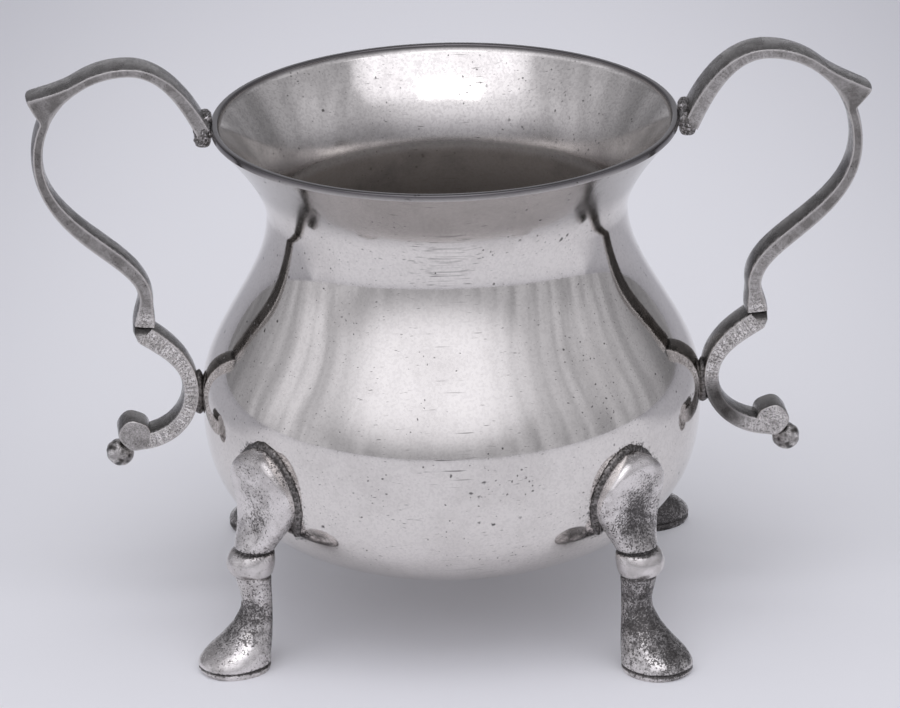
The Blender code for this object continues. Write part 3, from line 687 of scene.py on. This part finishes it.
def cast_pewter():
    """Cast surface: dark grey as it left the mould, paler and granular where filed, with file strokes across
    the strap, rubbed bright with a painted highlight along the arrises, and nearly black under painted shade
    and in the ball's hollows."""
    made, tree, shader = blank("cast_pewter")
    patina, pits, grain, specks = wear(tree, 0.45, 300.0, 0.45, 2200.0, 5200.0)
    arris, filed, recess, run = (marked(tree, name) for name in ("arris", "filed", "recess", "run"))
    face = tint(patina, (0.17, 0.160, 0.151, 1), (0.095, 0.088, 0.082, 1))
    flank = tint(patina, (0.90, 0.865, 0.845, 1), (0.66, 0.63, 0.605, 1))
    plain = tint(filed, face, flank)
    shifted = plus(run, times(grain, FILE_WANDER))
    strokes = node(tree, "TexNoise", {"W": shifted, "Scale": FILE_STROKES, "Detail": 2.0},
                   noise_dimensions="1D").outputs["Fac"]
    stroke = times(ramp(strokes, 0.48, 0.66), filed)
    speck = times(ramp(specks, 0.54, 0.72, 0.0, 0.75), ramp(filed, 0.2, 0.9, 0.3, 1.0))
    spots = maths("MAXIMUM", speck, pits)
    dark = maths("MAXIMUM", spots, times(stroke, 0.38))
    pitted = tint(dark, plain, (0.10, 0.095, 0.092, 1))
    # A painted highlight on the rubbed arrises, then painted shade, nearly black.
    bright = tint(times(arris, 0.60), pitted, (0.82, 0.785, 0.765, 1))
    colour = tint(recess, bright, (0.04, 0.038, 0.037, 1))
    height = plus(times(stroke, 0.7), plus(speck, pits))
    rough = ramp(patina, 0.0, 1.0, 0.16, 0.28)
    dressed(shader, colour, rough, height, 0.8, CAST_RELIEF)
    return made


cast_finish = cast_pewter()
ball_reach = VOLUTE_RADIUS + BALL_RADIUS - BALL_SINK
ball_middle = (volute_middle[0] + ball_reach * math.cos(BALL_TURN), 0.0,
               volute_middle[1] + ball_reach * math.sin(BALL_TURN))
ball, ball_swell = lump(ball_middle, (BALL_RADIUS,) * 3, BALL_SEED, BALL_ROUGHNESS,
                        count=BALL_KNOTS, sharp=BALL_SHARP)
ball_marks = {"filed": np.clip(BALL_FILED + BALL_FILED_SWELL * ball_swell, 0.0, 1.0),
              "recess": np.clip(BALL_DARK + BALL_DARK_SWELL * ball_swell, 0.0, BALL_DARKEST)}
for name, shape in HANDLE_SHAPES.items():
    forms = [upper_strap(shape), lower_strap(shape), volute(shape["volute"]), (ball, ball_marks)]
    handle = skin("scroll_handle_" + name, mirrored(forms, shape["side"], HANDLE_SKEW))
    fitted(handle, "handle_" + name, cast_finish)


# Handle solder
# Tin solder that holds each handle: rough beads in a lump at the rim, and a dark pad at the belly.
# Both were run in with an iron and left as they cooled.
RIM_BEADS = (((0.0015, 0.0, -0.0016), (0.0017, 0.0037, 0.0028), 3.0),
             ((0.0018, -0.0030, -0.0022), (0.0013, 0.0012, 0.0012), 2.2),
             ((0.0009, -0.0028, -0.0010), (0.0012, 0.0013, 0.0014), 2.2),
             ((0.0010, 0.0012, 0.0004), (0.0013, 0.0022, 0.0014), 2.4))
PAD_OUT, PAD_DROP = 0.0004, 0.0013
PAD_RADII = (0.0013, 0.0029, 0.0042)
RIM_SEED, RIM_ROUGHNESS = 11, 0.15
PAD_SEED, PAD_ROUGHNESS, PAD_SQUARENESS = 17, 0.04, 2.4

for name, shape in HANDLE_SHAPES.items():
    rim_edge = np.array((RIM_RADIUS, 0.0, RIM_HEIGHT))
    beads = [(lump(rim_edge + middle, radii, RIM_SEED + order, RIM_ROUGHNESS, square)[0], {"tarnish": 0.05})
             for order, (middle, radii, square) in enumerate(RIM_BEADS)]
    rim_solder = skin("rim_solder_" + name, mirrored(beads, shape["side"]))
    fitted(rim_solder, "handle_" + name + "_rim_solder", solder_finish)
    pad_middle = (belly_face + PAD_OUT + 0.5 * shape["clear"], 0.0, JOINT_HEIGHT - PAD_DROP)
    pad_form = lump(pad_middle, PAD_RADII, PAD_SEED, PAD_ROUGHNESS, PAD_SQUARENESS)[0]
    pad = skin("belly_solder_" + name, mirrored([(pad_form, {"tarnish": 0.95})], shape["side"]))
    fitted(pad, "handle_" + name + "_belly_solder", solder_finish)


# Feet
# Four cabriole feet cast in pewter, each a shield-shaped knee, a collar, a slim shank and a pad foot.
# They were bent and soldered on by eye, so that each knee and toe points its own way.
# The shade numbers paint shade into each foot's colour by how the light falls on it: on the instep, toe,
# pad's back and knee; a toe shade below 0 paints a highlight.
FOOT_USUAL = dict(shade_turn=0.0, shade_edge=-0.45, shade_at=0.0118, shade_half=0.0066,
                  shank_shade=0.80, toe_shade=0.30, pad_shade=0.0, knee_shade=0.50)
FOOT_SHAPES = {
    "front_left": dict(FOOT_USUAL, turns=(-141.8, -138.3, -6.0), lift=0.0003, shade_turn=0.3,
                       shade_edge=-0.20, shade_at=0.0092, shade_half=0.0046, shank_shade=0.72,
                       toe_shade=-0.25, knee_shade=0.30),
    "front_right": dict(FOOT_USUAL, turns=(-45.3, -46.6, -2.5), lift=-0.0010, shade_turn=-0.3,
                        shank_shade=0.74, toe_shade=0.55, knee_shade=0.80),
    "back_left": dict(FOOT_USUAL, turns=(135.0, 136.5, 3.0), lift=0.0, pad_shade=0.75),
    "back_right": dict(FOOT_USUAL, turns=(42.5, 44.0, -3.0), lift=-0.0004, pad_shade=0.85),
}
KNEE_LIFT_FROM, KNEE_LIFT_RISE = 0.0235, 0.0180
FOOT_TABLE = np.array((
    (0.0, 58.6, 46.1, 5.8, 2.2), (0.5, 59.3, 45.8, 6.15, 2.2), (1.0, 59.5, 45.7, 6.25, 2.2),
    (2.4, 59.3, 45.7, 6.15, 2.1), (4.0, 57.6, 45.5, 5.8, 2.1), (6.0, 54.7, 45.0, 4.8, 2.0),
    (8.5, 52.0, 44.7, 3.7, 2.0), (11.0, 50.4, 44.5, 3.0, 2.0), (13.0, 50.1, 44.5, 2.85, 2.0),
    (16.0, 50.9, 44.6, 3.2, 2.0), (18.0, 51.4, 44.6, 3.5, 2.0), (23.0, 51.2, 44.2, 4.0, 2.1),
    (24.5, 50.6, 44.0, 4.5, 2.3), (26.0, 49.8, 43.9, 5.1, 2.7), (28.0, 49.0, 44.0, 6.0, 3.3),
    (30.0, 48.7, 44.3, 6.9, 4.0), (32.0, 48.8, 44.8, 7.6, 4.6), (34.0, 49.3, 45.2, 7.9, 5.0),
    (36.0, 49.9, 45.6, 7.7, 5.0), (38.0, 50.5, 45.8, 7.0, 4.8), (40.0, 50.8, 46.0, 5.7, 4.4),
    (41.5, 50.5, 46.1, 4.3, 3.8), (42.6, 49.6, 46.1, 2.8, 3.2), (43.2, 48.2, 46.1, 1.2, 2.6)))
SHANK_AT = 0.0474
COLLAR_LOW, COLLAR_HIGH = 0.0179, 0.0230
COLLAR_FRONT, COLLAR_SIDE, COLLAR_BACK, COLLAR_FULLNESS = 0.0016, 0.0008, 0.0004, 0.7
GROOVE, GROOVE_WIDTH = 0.0003, 0.00028
SOLE_LINE = 0.0012
KNEE_SINK = 0.0008
WRAP_FROM, WRAP_RISE = 0.026, 0.008
PAD_TURN_FROM, PAD_TURN_RISE = 0.006, 0.008
KNEE_TURN_FROM, KNEE_TURN_RISE = 0.021, 0.013
COLLAR_SHADES, COLLAR_SHADE_HALF, COLLAR_RUBBED, SOLE_SHADE_HALF = (0.35, 0.75), 0.0005, 0.55, 0.0003
TOE_AT, TOE_HALF, PAD_TOP = 0.0035, 0.0035, 0.0100
# Painted shade on each foot's back, the side that faces the bowl.
BACK_AT, BACK_HALF = 0.0155, 0.0140
KNEE_SHADE_AT, KNEE_SHADE_HALF = 0.0300, 0.0056
# The knee's edges are rubbed bright, with a painted highlight.
EDGE_TURN, EDGE_HALF, EDGE_FROM, EDGE_RISE, EDGE_WEAR_AND_HIGHLIGHT = 0.8, 0.3, 0.027, 0.004, 0.45
INSTEP_FADE = 1.1
FOOT_ROWS, FOOT_SIDES, FOOT_FINE, FOOT_SOFT = 300, 96, 400, 8
FOOT_RELIEF = 0.00016


def foot_sections(height):
    """Front, back, half width and squareness of the level section at any heights, from the table."""
    table = FOOT_TABLE * (1e-3, 1e-3, 1e-3, 1e-3, 1.0)
    fine = np.linspace(0.0, table[-1, 0], FOOT_FINE)
    smooth = [softened(np.interp(fine, table[:, 0], column), FOOT_SOFT) for column in table.T[1:]]
    return [np.interp(height, fine, column) for column in smooth]


def lifted(height, lift):
    """Heights with the knee drawn up or down by a lift, eased in from the collar."""
    return height + lift * eased((height - KNEE_LIFT_FROM) / KNEE_LIFT_RISE)


def swung(ahead, beside, turn):
    """Distances ahead and beside, turned by an angle."""
    return ahead * np.cos(turn) - beside * np.sin(turn), ahead * np.sin(turn) + beside * np.cos(turn)


def foot_shade(shape, height, around, swell):
    """How dark each point is: dark with patina in the grooves, and dark with painted shade on the instep,
    the toe, the pad's back, the back and the knee's middle, as far as the shape says; rubbed bright, below
    0, on the collar, rubbed bright with a painted highlight beside the knee's middle, and a painted
    highlight on a toe whose shade is below 0."""
    ahead = 0.5 + 0.5 * np.cos(around)
    instep = eased((np.cos(around - shape["shade_turn"]) - shape["shade_edge"]) / INSTEP_FADE)
    edge = bell(np.arccos(np.cos(around)), EDGE_TURN, EDGE_HALF) * eased((height - EDGE_FROM) / EDGE_RISE)
    return (COLLAR_SHADES[0] * bell(height, COLLAR_LOW, COLLAR_SHADE_HALF) - COLLAR_RUBBED * swell
            + COLLAR_SHADES[1] * bell(height, COLLAR_HIGH, COLLAR_SHADE_HALF)
            + bell(height, SOLE_LINE, SOLE_SHADE_HALF)
            + shape["shank_shade"] * bell(height, shape["shade_at"], shape["shade_half"], 4) * instep
            + shape["toe_shade"] * bell(height, TOE_AT, TOE_HALF) * ahead ** 2
            + shape["pad_shade"] * bell(height, 0.0, PAD_TOP, 4) * (1.0 - ahead ** 3)
            + bell(height, BACK_AT, BACK_HALF, 6) * (1.0 - ahead) ** 3 - EDGE_WEAR_AND_HIGHLIGHT * edge
            + shape["knee_shade"] * bell(height, KNEE_SHADE_AT, KNEE_SHADE_HALF) * ahead ** 3)


def foot_grid(shape):
    """Level superellipses one above another along the foot's direction. The pad turns about the shank and
    the knee about the bowl. What would lie in the belly is pushed out to just under its surface."""
    shank_turn, knee_turn, pad_turn = np.radians(shape["turns"])
    height = FOOT_TABLE[-1, 0] * 1e-3 * np.linspace(0.0, 1.0, FOOT_ROWS)[:, None]
    around = full_turn(FOOT_SIDES)
    front, back, half, square = foot_sections(height)
    swell = np.sin(np.pi * way(height, COLLAR_LOW, COLLAR_HIGH)) ** COLLAR_FULLNESS
    groove = GROOVE * sum(bell(height, line, GROOVE_WIDTH) for line in (COLLAR_LOW, COLLAR_HIGH, SOLE_LINE))
    front = front + COLLAR_FRONT * swell - groove
    back = back - COLLAR_BACK * swell + groove
    half = half + COLLAR_SIDE * swell - groove
    reach = (np.abs(np.cos(around)) ** square + np.abs(np.sin(around)) ** square) ** (-1.0 / square)
    across = half * reach * np.sin(around)
    wrap = eased((height - WRAP_FROM) / WRAP_RISE) * across ** 2 / (2.0 * BELLY_RADIUS)
    out = 0.5 * (front + back) + 0.5 * (front - back) * reach * np.cos(around) - wrap
    height = lifted(height, shape["lift"])
    twist = pad_turn * (1.0 - eased((height - PAD_TURN_FROM) / PAD_TURN_RISE))
    ahead, across = swung(out - SHANK_AT, across, twist)
    out = SHANK_AT + ahead
    least = np.where(height > BASE_HEIGHT, bowl_radius(height) - KNEE_SINK, 0.0)
    push = np.maximum(1.0, least / np.hypot(out, across))
    out, across = out * push, across * push
    turn = shank_turn + (knee_turn - shank_turn) * eased((height - KNEE_TURN_FROM) / KNEE_TURN_RISE)
    grid = np.stack(np.broadcast_arrays(*swung(out, across, turn), height), axis=-1)
    shade = np.pad(foot_shade(shape, height, around, swell), ((1, 1), (0, 0)), mode="edge")
    return capped(grid), {"recess": np.clip(shade, -0.5, 1.0)}


def aged_pewter():
    """Cast feet: bright where rubbed, peppered with dark specks in clouds, black with patina in the grooves
    and with painted shade, with more specks, where the shade mark says."""
    made, tree, shader = blank("aged_pewter")
    patina, pits, _, specks = wear(tree, 0.48, 190.0, 0.40, 2600.0, 3600.0)
    recess = marked(tree, "recess")
    blots = wear(tree, 0.50, 620.0, 0.0, 2600.0, 3600.0)["Patina"]
    cloud = plus(times(patina, 0.14), times(recess, 0.36))
    edge = minus(0.80, cloud)
    speck = ramp(specks, minus(edge, 0.11), plus(edge, 0.11))
    plain = tint(patina, (0.82, 0.785, 0.77, 1), (0.60, 0.57, 0.555, 1))
    specked = tint(times(speck, 0.85), plain, (0.10, 0.094, 0.092, 1))
    pitted = tint(times(pits, 0.7), specked, (0.05, 0.047, 0.046, 1))
    # Painted shade from the shade mark, with patina blots, turns the colour nearly black.
    painted_shade_and_blots = ramp(plus(recess, times(blots, 0.30)), 0.25, 1.10, 0.0, 0.84)
    colour = tint(painted_shade_and_blots, pitted, (0.07, 0.065, 0.064, 1))
    dents = plus(times(speck, 0.5), times(specks, 0.5))
    height = plus(dents, pits)
    dressed(shader, colour, ramp(speck, 0.0, 1.0, 0.19, 0.42), height, 0.65, FOOT_RELIEF)
    return made


aged_finish = aged_pewter()
for name, shape in FOOT_SHAPES.items():
    foot = skin("cabriole_foot_" + name, [foot_grid(shape)])
    fitted(foot, "foot_" + name, aged_finish)


# Foot solder
# A dark bead of tin solder round each knee, where it squeezed out between knee and belly.
# It was scraped level by hand, so that its width wanders a little.
BEAD_HALF_WIDTH, BEAD_HALF_HEIGHT = 0.0012, 0.0008
# Soot lies beside each bead; past the bead's lower ends the mark goes on round the belly as a painted
# reflection of the foot.
SOOT_AND_REFLECTION_REACH, REFLECTION_TAIL, REFLECTION_FADE = 0.0034, 0.0040, 0.0022
BEAD_START, BEAD_TOP = 0.0270, 0.0433
BEAD_TUCK, BEAD_CROWN = 0.0004, 0.15
BEAD_ROWS, BEAD_SIDES, BEAD_SEED = 200, 24, 31
BEAD_WAVES, BEAD_WAVE_SIZES, BEAD_WAVE_STARTS = (3, 7, 13, 23), (0.02, 0.06), (0.0, 6.3)
BEAD_END_THIN, BEAD_END_POWER = 0.5, 8
REFLECTION_STEPS, SOOT_EVERY = 8, 4


def bead_path(shape):
    """The knee's edge on the belly, from its lower left over its top to its lower right. Returns the
    share of the way, the height, the angle round the bowl and the place of each point."""
    swing = np.linspace(-1.0, 1.0, BEAD_ROWS)
    rise = BEAD_START + (BEAD_TOP - BEAD_START) * np.cos(0.5 * np.pi * swing)
    over = np.sign(swing) * (foot_sections(rise)[2] - BEAD_TUCK)
    level = swing / BEAD_CROWN * np.interp(BEAD_CROWN, swing, over)
    over = np.where(np.abs(swing) < BEAD_CROWN, level, over)
    rise = lifted(rise, shape["lift"])
    radius = bowl_radius(rise)
    angle = math.radians(shape["turns"][1]) + np.arcsin(over / radius)
    return swing, rise, angle, placed(radius, angle, rise)


def bead_grid(shape, seed):
    """A flattened tube carried along the knee's edge on the belly. Its width follows a few slow waves."""
    draw = np.random.default_rng(seed)
    swing, rise, angle, path = bead_path(shape)
    small = 1e-5
    slope = (bowl_radius(rise + small) - bowl_radius(rise - small)) / (2.0 * small)
    normal = unit(placed(1.0, angle, -slope))
    beside = np.cross(unit(np.gradient(path, axis=0)), normal)
    waves = sum(draw.uniform(*BEAD_WAVE_SIZES)
                * np.sin(count * np.pi * swing + draw.uniform(*BEAD_WAVE_STARTS)) for count in BEAD_WAVES)
    wide = BEAD_HALF_WIDTH * (1.0 + waves) * (1.0 - BEAD_END_THIN * swing ** BEAD_END_POWER)
    around = full_turn(BEAD_SIDES)
    grid = (path[:, None] + beside[:, None] * (wide[:, None] * np.cos(around))[..., None]
            + normal[:, None] * (BEAD_HALF_HEIGHT * np.sin(around))[None, :, None])
    return capped(grid)


for order, (name, shape) in enumerate(FOOT_SHAPES.items()):
    bead = skin("knee_solder_" + name, [(bead_grid(shape, BEAD_SEED + order), {"tarnish": 0.9})])
    fitted(bead, "foot_" + name + "_solder", solder_finish)


def soot_and_reflection_path(shape):
    """The knee's edge on the belly, where soot lies, carried on from both its lower ends a short way round
    the belly as a painted reflection of the foot, where it leaves the surface, so that the mark thins out."""
    _, rise, angle, path = bead_path(shape)
    share = np.linspace(0.0, 1.0, REFLECTION_STEPS)
    runs = [path[::SOOT_EVERY]]
    for end, side in ((0, -1.0), (-1, 1.0)):
        turn = angle[end] + side * share * REFLECTION_TAIL / BELLY_RADIUS
        runs.append(placed(bowl_radius(rise[end]) + REFLECTION_FADE * share, turn, rise[end]))
    return np.concatenate(runs).astype(np.float32)


def with_soot_and_reflection(piece, edges):
    """Mark the points of a piece near soldered edges and their tails of painted reflection: 1 on an edge,
    falling evenly to 0 at the reach.
    """
    mesh = piece.data
    places = np.array([point.co for point in mesh.vertices], np.float32)
    near = [np.linalg.norm(places[:, None] - edge[None], axis=-1).min(axis=1) for edge in edges]
    layer = mesh.attributes.new("soot_and_painted_reflection", "FLOAT", "POINT")
    soot_and_painted_reflection = np.clip(1.0 - np.min(near, axis=0) / SOOT_AND_REFLECTION_REACH, 0.0, 1.0)
    layer.data.foreach_set("value", soot_and_painted_reflection.astype(np.float32))


with_soot_and_reflection(lower_body, [soot_and_reflection_path(shape) for shape in FOOT_SHAPES.values()])


# Floor, light and camera
# A plain pale floor, greyer far behind and clear from below, in a soft white studio of hung cloth.
# A lamp hangs overhead and one stands in front, and the camera stands on the photograph's side.
FLOOR_HALF = 4.0
FLOOR_COLOUR = (0.815, 0.815, 0.845, 1.0)
FLOOR_LIFT = 0.05
TABLE_COLOUR = (0.50, 0.50, 0.53, 1.0)
PAPER_HALF, TABLE_FROM, PAPER_DEEP = 0.06, 0.20, 0.28
BEHIND_FROM, BEHIND_TO = -0.04, 0.08
PALE = (0.64, 0.64, 0.68, 1.0)
TENT_TINT = (1.0, 1.0, 1.07)
TENT_LEVELS = ((0.0, 0.43), (0.20, 0.45), (0.60, 0.56), (0.75, 0.52), (0.90, 0.36), (1.0, 0.33))
GLOW_AIM, GLOW_LEVEL = (-0.17, -0.77, 0.615), 0.52
BACK_LEVEL, LEFT_LEVEL, CANOPY_LEVEL = 0.56, 1.34, 1.36
FOLD_STRETCH, FOLD_SCALE = (1.0, 1.0, 0.12), 9.0
FOLD_DEPTH, FOLD_SMOOTHED = 0.20, 0.19
LAMP_RISE, LAMP_REACH, LAMP_ASIDE = math.radians(57), 1.9, -0.10
LAMP_SIZE, LAMP_ENERGY = (0.92, 0.33), 1.0
TOP_HEIGHT, TOP_SIZE, TOP_ENERGY = 1.5, (1.2, 1.2), 4.6
CAMERA_DISTANCE = 1.3
CAMERA_RISE = math.radians(21.02)
CAMERA_ROLL = math.radians(1.45)
CAMERA_TARGET = 0.05
METRES_PER_PIXEL = 0.188e-3
IMAGE_WIDTH, IMAGE_HEIGHT = 900, 708
MIDDLE_X, MIDDLE_Y = 450.57, 350.14
SENSOR = 36.0


def floor_paper():
    """Matt paper, greyer far behind, that glows a little where it is seen and is clear from below."""
    made, tree, shader = blank("floor_paper")
    path = node(tree, "LightPath").outputs
    glow = times(maths("MAXIMUM", path["Is Camera Ray"], path["Is Glossy Ray"]), FLOOR_LIFT)
    place = node(tree, "TexCoord").outputs["Object"]
    oval = vectors("MULTIPLY", place, (1.0, PAPER_DEEP, 0.0))["Vector"]
    away = ramp(vectors("LENGTH", oval)["Value"], PAPER_HALF, TABLE_FROM)
    axes = node(tree, "SeparateXYZ", {"Vector": place}).outputs
    colour = tint(times(ramp(axes["Y"], BEHIND_FROM, BEHIND_TO), away), FLOOR_COLOUR, TABLE_COLOUR)
    feed(shader, {"Base Color": colour, "Roughness": 0.9, "Specular IOR Level": 0.1,
                  "Emission Color": colour, "Emission Strength": glow})
    clear = node(tree, "BsdfTransparent").outputs["BSDF"]
    below = node(tree, "NewGeometry").outputs["Backfacing"]
    mixed = node(tree, "MixShader", {0: below, 1: shader.outputs["BSDF"], 2: clear})
    feed(tree.nodes["Material Output"], {"Surface": mixed.outputs["Shader"]})
    return made


floor_corners = FLOOR_HALF * np.array(((-1, -1, 0), (1, -1, 0), (1, 1, 0), (-1, 1, 0)))
floor_mesh = bpy.data.meshes.new("floor")
floor_mesh.from_pydata(floor_corners.tolist(), [], [(0, 1, 2, 3)])
floor_mesh.materials.append(floor_paper())
floor = added("floor", floor_mesh)

world = bpy.data.worlds.new("studio")
scene.world = world
world.use_nodes = True
sky = world.node_tree
sky.nodes.clear()
direction = node(sky, "TexCoord").outputs["Generated"]
aim = node(sky, "SeparateXYZ", {"Vector": direction}).outputs
climb = node(sky, "ValToRGB", {"Fac": aim["Z"]})
for position, _ in TENT_LEVELS[1:-1]:
    climb.color_ramp.elements.new(position)
for element, (_, level) in zip(climb.color_ramp.elements, TENT_LEVELS):
    element.color = (level, level, level, 1.0)
facing = vectors("DOT_PRODUCT", direction, GLOW_AIM)["Value"]
glow = times(ramp(facing, 0.61, 0.97), ramp(aim["Z"], -0.08, 0.62, 0.0, GLOW_LEVEL))
stretched = vectors("MULTIPLY", direction, FOLD_STRETCH)["Vector"]
folds = noise(vectors("NORMALIZE", stretched)["Vector"], FOLD_SCALE, 2.0)["Fac"]
overhead = ramp(minus(aim["Z"], aim["Y"]), 0.90, 1.15)
canopy = times(overhead, ramp(aim["Z"], 0.56, 0.80, 0.0, CANOPY_LEVEL))
sides = times(ramp(aim["Y"], -0.10, 0.60, 1.0, BACK_LEVEL),
              ramp(aim["X"], -0.98, -0.66, LEFT_LEVEL, 1.0))
even = maths("MAXIMUM", plus(times(climb.outputs["Color"], sides), glow), canopy)
hang = minus(FOLD_DEPTH, times(ramp(facing, 0.55, 0.95), FOLD_SMOOTHED))
sway = times(ramp(folds, 0.30, 0.70, -1.0, 1.0), hang)
hung = times(even, plus(1.0, sway))
path = node(sky, "LightPath").outputs
backdrop = times(ramp(aim["Y"], 0.84, 0.98), ramp(aim["Z"], 0.75, 0.55))
mirrored_ray = maths("MAXIMUM", path["Is Glossy Ray"], path["Is Transmission Ray"])
seen = maths("MAXIMUM", path["Is Camera Ray"], times(mirrored_ray, backdrop))
studio = tint(seen, vectors("MULTIPLY", hung, TENT_TINT)["Vector"], PALE)
back = node(sky, "Background", {"Color": studio})
node(sky, "OutputWorld", {"Surface": back.outputs["Background"]})


def area_lamp(name, size, energy, place, tilt):
    """A rectangular lamp that shines straight down, or tilted back from that."""
    lamp = bpy.data.lights.new(name, "AREA")
    lamp.shape = "RECTANGLE"
    lamp.size, lamp.size_y = size
    lamp.energy = energy
    light = added(name, lamp)
    light.location = place
    light.rotation_euler = (tilt, 0.0, 0.0)
    return light


lamp_place = (LAMP_ASIDE, -LAMP_REACH * math.cos(LAMP_RISE), LAMP_REACH * math.sin(LAMP_RISE))
area_lamp("front_softbox", LAMP_SIZE, LAMP_ENERGY, lamp_place, 0.5 * math.pi - LAMP_RISE)
top_light = area_lamp("top_softbox", TOP_SIZE, TOP_ENERGY, (0.0, 0.0, TOP_HEIGHT), 0.0)
top_light.visible_glossy = False

lens = bpy.data.cameras.new("camera")
lens.sensor_width = SENSOR
lens.sensor_fit = "HORIZONTAL"
lens.lens = CAMERA_DISTANCE / METRES_PER_PIXEL * SENSOR / IMAGE_WIDTH
lens.shift_x = (0.5 * IMAGE_WIDTH - MIDDLE_X) / IMAGE_WIDTH
lens.shift_y = (MIDDLE_Y - 0.5 * IMAGE_HEIGHT) / IMAGE_WIDTH
camera = added("camera", lens)
camera.location = (0.0, -CAMERA_DISTANCE * math.cos(CAMERA_RISE),
                   CAMERA_TARGET + CAMERA_DISTANCE * math.sin(CAMERA_RISE))
camera.rotation_euler = (0.5 * math.pi - CAMERA_RISE, 0.0, 0.0)
camera.rotation_euler.rotate_axis("Z", -CAMERA_ROLL)
scene.camera = camera
scene.view_settings.view_transform = "Standard"
